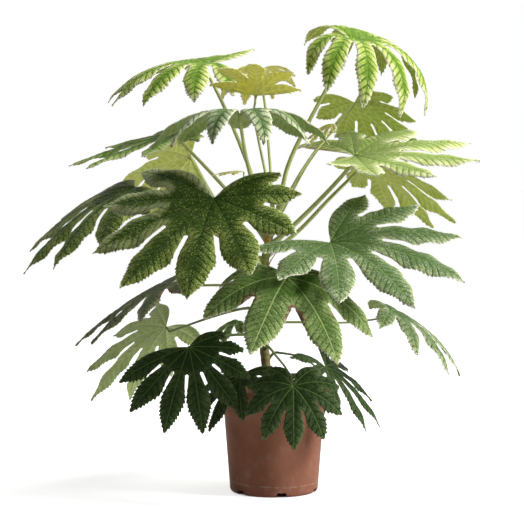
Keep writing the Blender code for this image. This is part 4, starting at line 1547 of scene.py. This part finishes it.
@dataclass
class Studio:
    """Pale floor, soft lights, white surroundings and the camera."""

    eye: tuple = (-0.0198, -3.6, 0.635)
    aim: tuple = (-0.0198, 0.0, 0.381)
    lens: float = 150.1
    floor_size: float = 14
    floor_colour: Colour = (0.7, 0.7, 0.7)
    floor_glow: tuple = (0.78, 0.9)        # how bright the floor shows near the pot and farther out
    glow_reach: tuple = (0.2, 0.7)         # distances between which that changes
    dark_reach: tuple = (0.06, 0.074)      # distances from the middle of the pot between which it sets in
    ambient: float = 0.08
    lights: tuple = (                      # name, place, size and power
        ("key", (2.9, -0.9, 1.9), 0.9, 128),
        ("fill", (-1.2, -3.0, 1.2), 2.2, 2.5),
        ("top", (0.5, 0.1, 2.9), 1.2, 50),
    )

    def seen(self, sheet: NodeSheet) -> Signal:
        """Tell the rays that see the white surroundings from those that only light the scene.

        Args:
            sheet: the nodes to add to.

        Returns:
            1 for rays from the camera, from gloss and through glass, and 0 for the rest.
        """
        path = sheet.add("LightPath").outputs
        total = path["Is Camera Ray"]
        for name in ("Is Glossy Ray", "Is Transmission Ray"):
            total = sheet.math("MAXIMUM", total, path[name])
        return total

    def build_world(self) -> None:
        """Light the scene evenly and show a white background."""
        sheet = NodeSheet("studio", world=True)
        bpy.context.scene.world = sheet.owner
        strength = sheet.add("MapRange", {"To Min": self.ambient, "Value": self.seen(sheet)})
        sheet.shader.inputs["Color"].default_value = WHITE
        sheet.feed(sheet.shader.inputs["Strength"], strength.outputs[0])

    def build_floor(self) -> None:
        """Lay the floor, which shows white but keeps the shadow."""
        shape = bmesh.new()
        bmesh.ops.create_grid(shape, x_segments=1, y_segments=1, size=self.floor_size)
        sheet = NodeSheet("floor")
        length = sheet.add("VectorMath", {0: sheet.place()}, operation="LENGTH")
        away = Signal(sheet, length.outputs["Value"])
        close, far = self.floor_glow
        glow = away.ramp(*self.dark_reach) * (away.ramp(*self.glow_reach) * (far - close) + close)
        sheet.feed(sheet.shader.inputs["Emission Strength"], self.seen(sheet) * glow)
        sheet.shader.inputs["Emission Color"].default_value = WHITE
        finished("floor", shape, sheet.finish(self.floor_colour, 0.9, Specular_IOR_Level=0.1))

    def hang(self, name: str, data: bpy.types.ID, place: tuple) -> bpy.types.Object:
        """Set up a lamp or camera and turn it to the aim.

        Args:
            name: the object's name.
            data: the lamp or camera.
            place: where it stands.

        Returns:
            Its object.
        """
        holder = bpy.data.objects.new(name, data)
        holder.location = place
        holder.rotation_euler = (Vector(self.aim) - Vector(place)).to_track_quat("-Z", "Y").to_euler()
        bpy.context.collection.objects.link(holder)
        return holder

    def build(self) -> None:
        """Set up the whole studio."""
        self.build_world()
        self.build_floor()
        for name, place, size, power in self.lights:
            lamp = bpy.data.lights.new(name, "AREA")
            lamp.size = size
            lamp.energy = power
            self.hang(name, lamp, place)
        camera = bpy.data.cameras.new("camera")
        camera.lens = self.lens
        bpy.context.scene.camera = self.hang("camera", camera, self.eye)
        bpy.context.scene.view_settings.view_transform = "Standard"


def main() -> None:
    """Build the potted fatsia and its studio."""
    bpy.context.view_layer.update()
    Studio().build()
    Pot().assemble()
    trunk = Trunk()
    trunk.assemble()
    Foliage(trunk).assemble()
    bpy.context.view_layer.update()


if __name__ == "__main__":
    main()
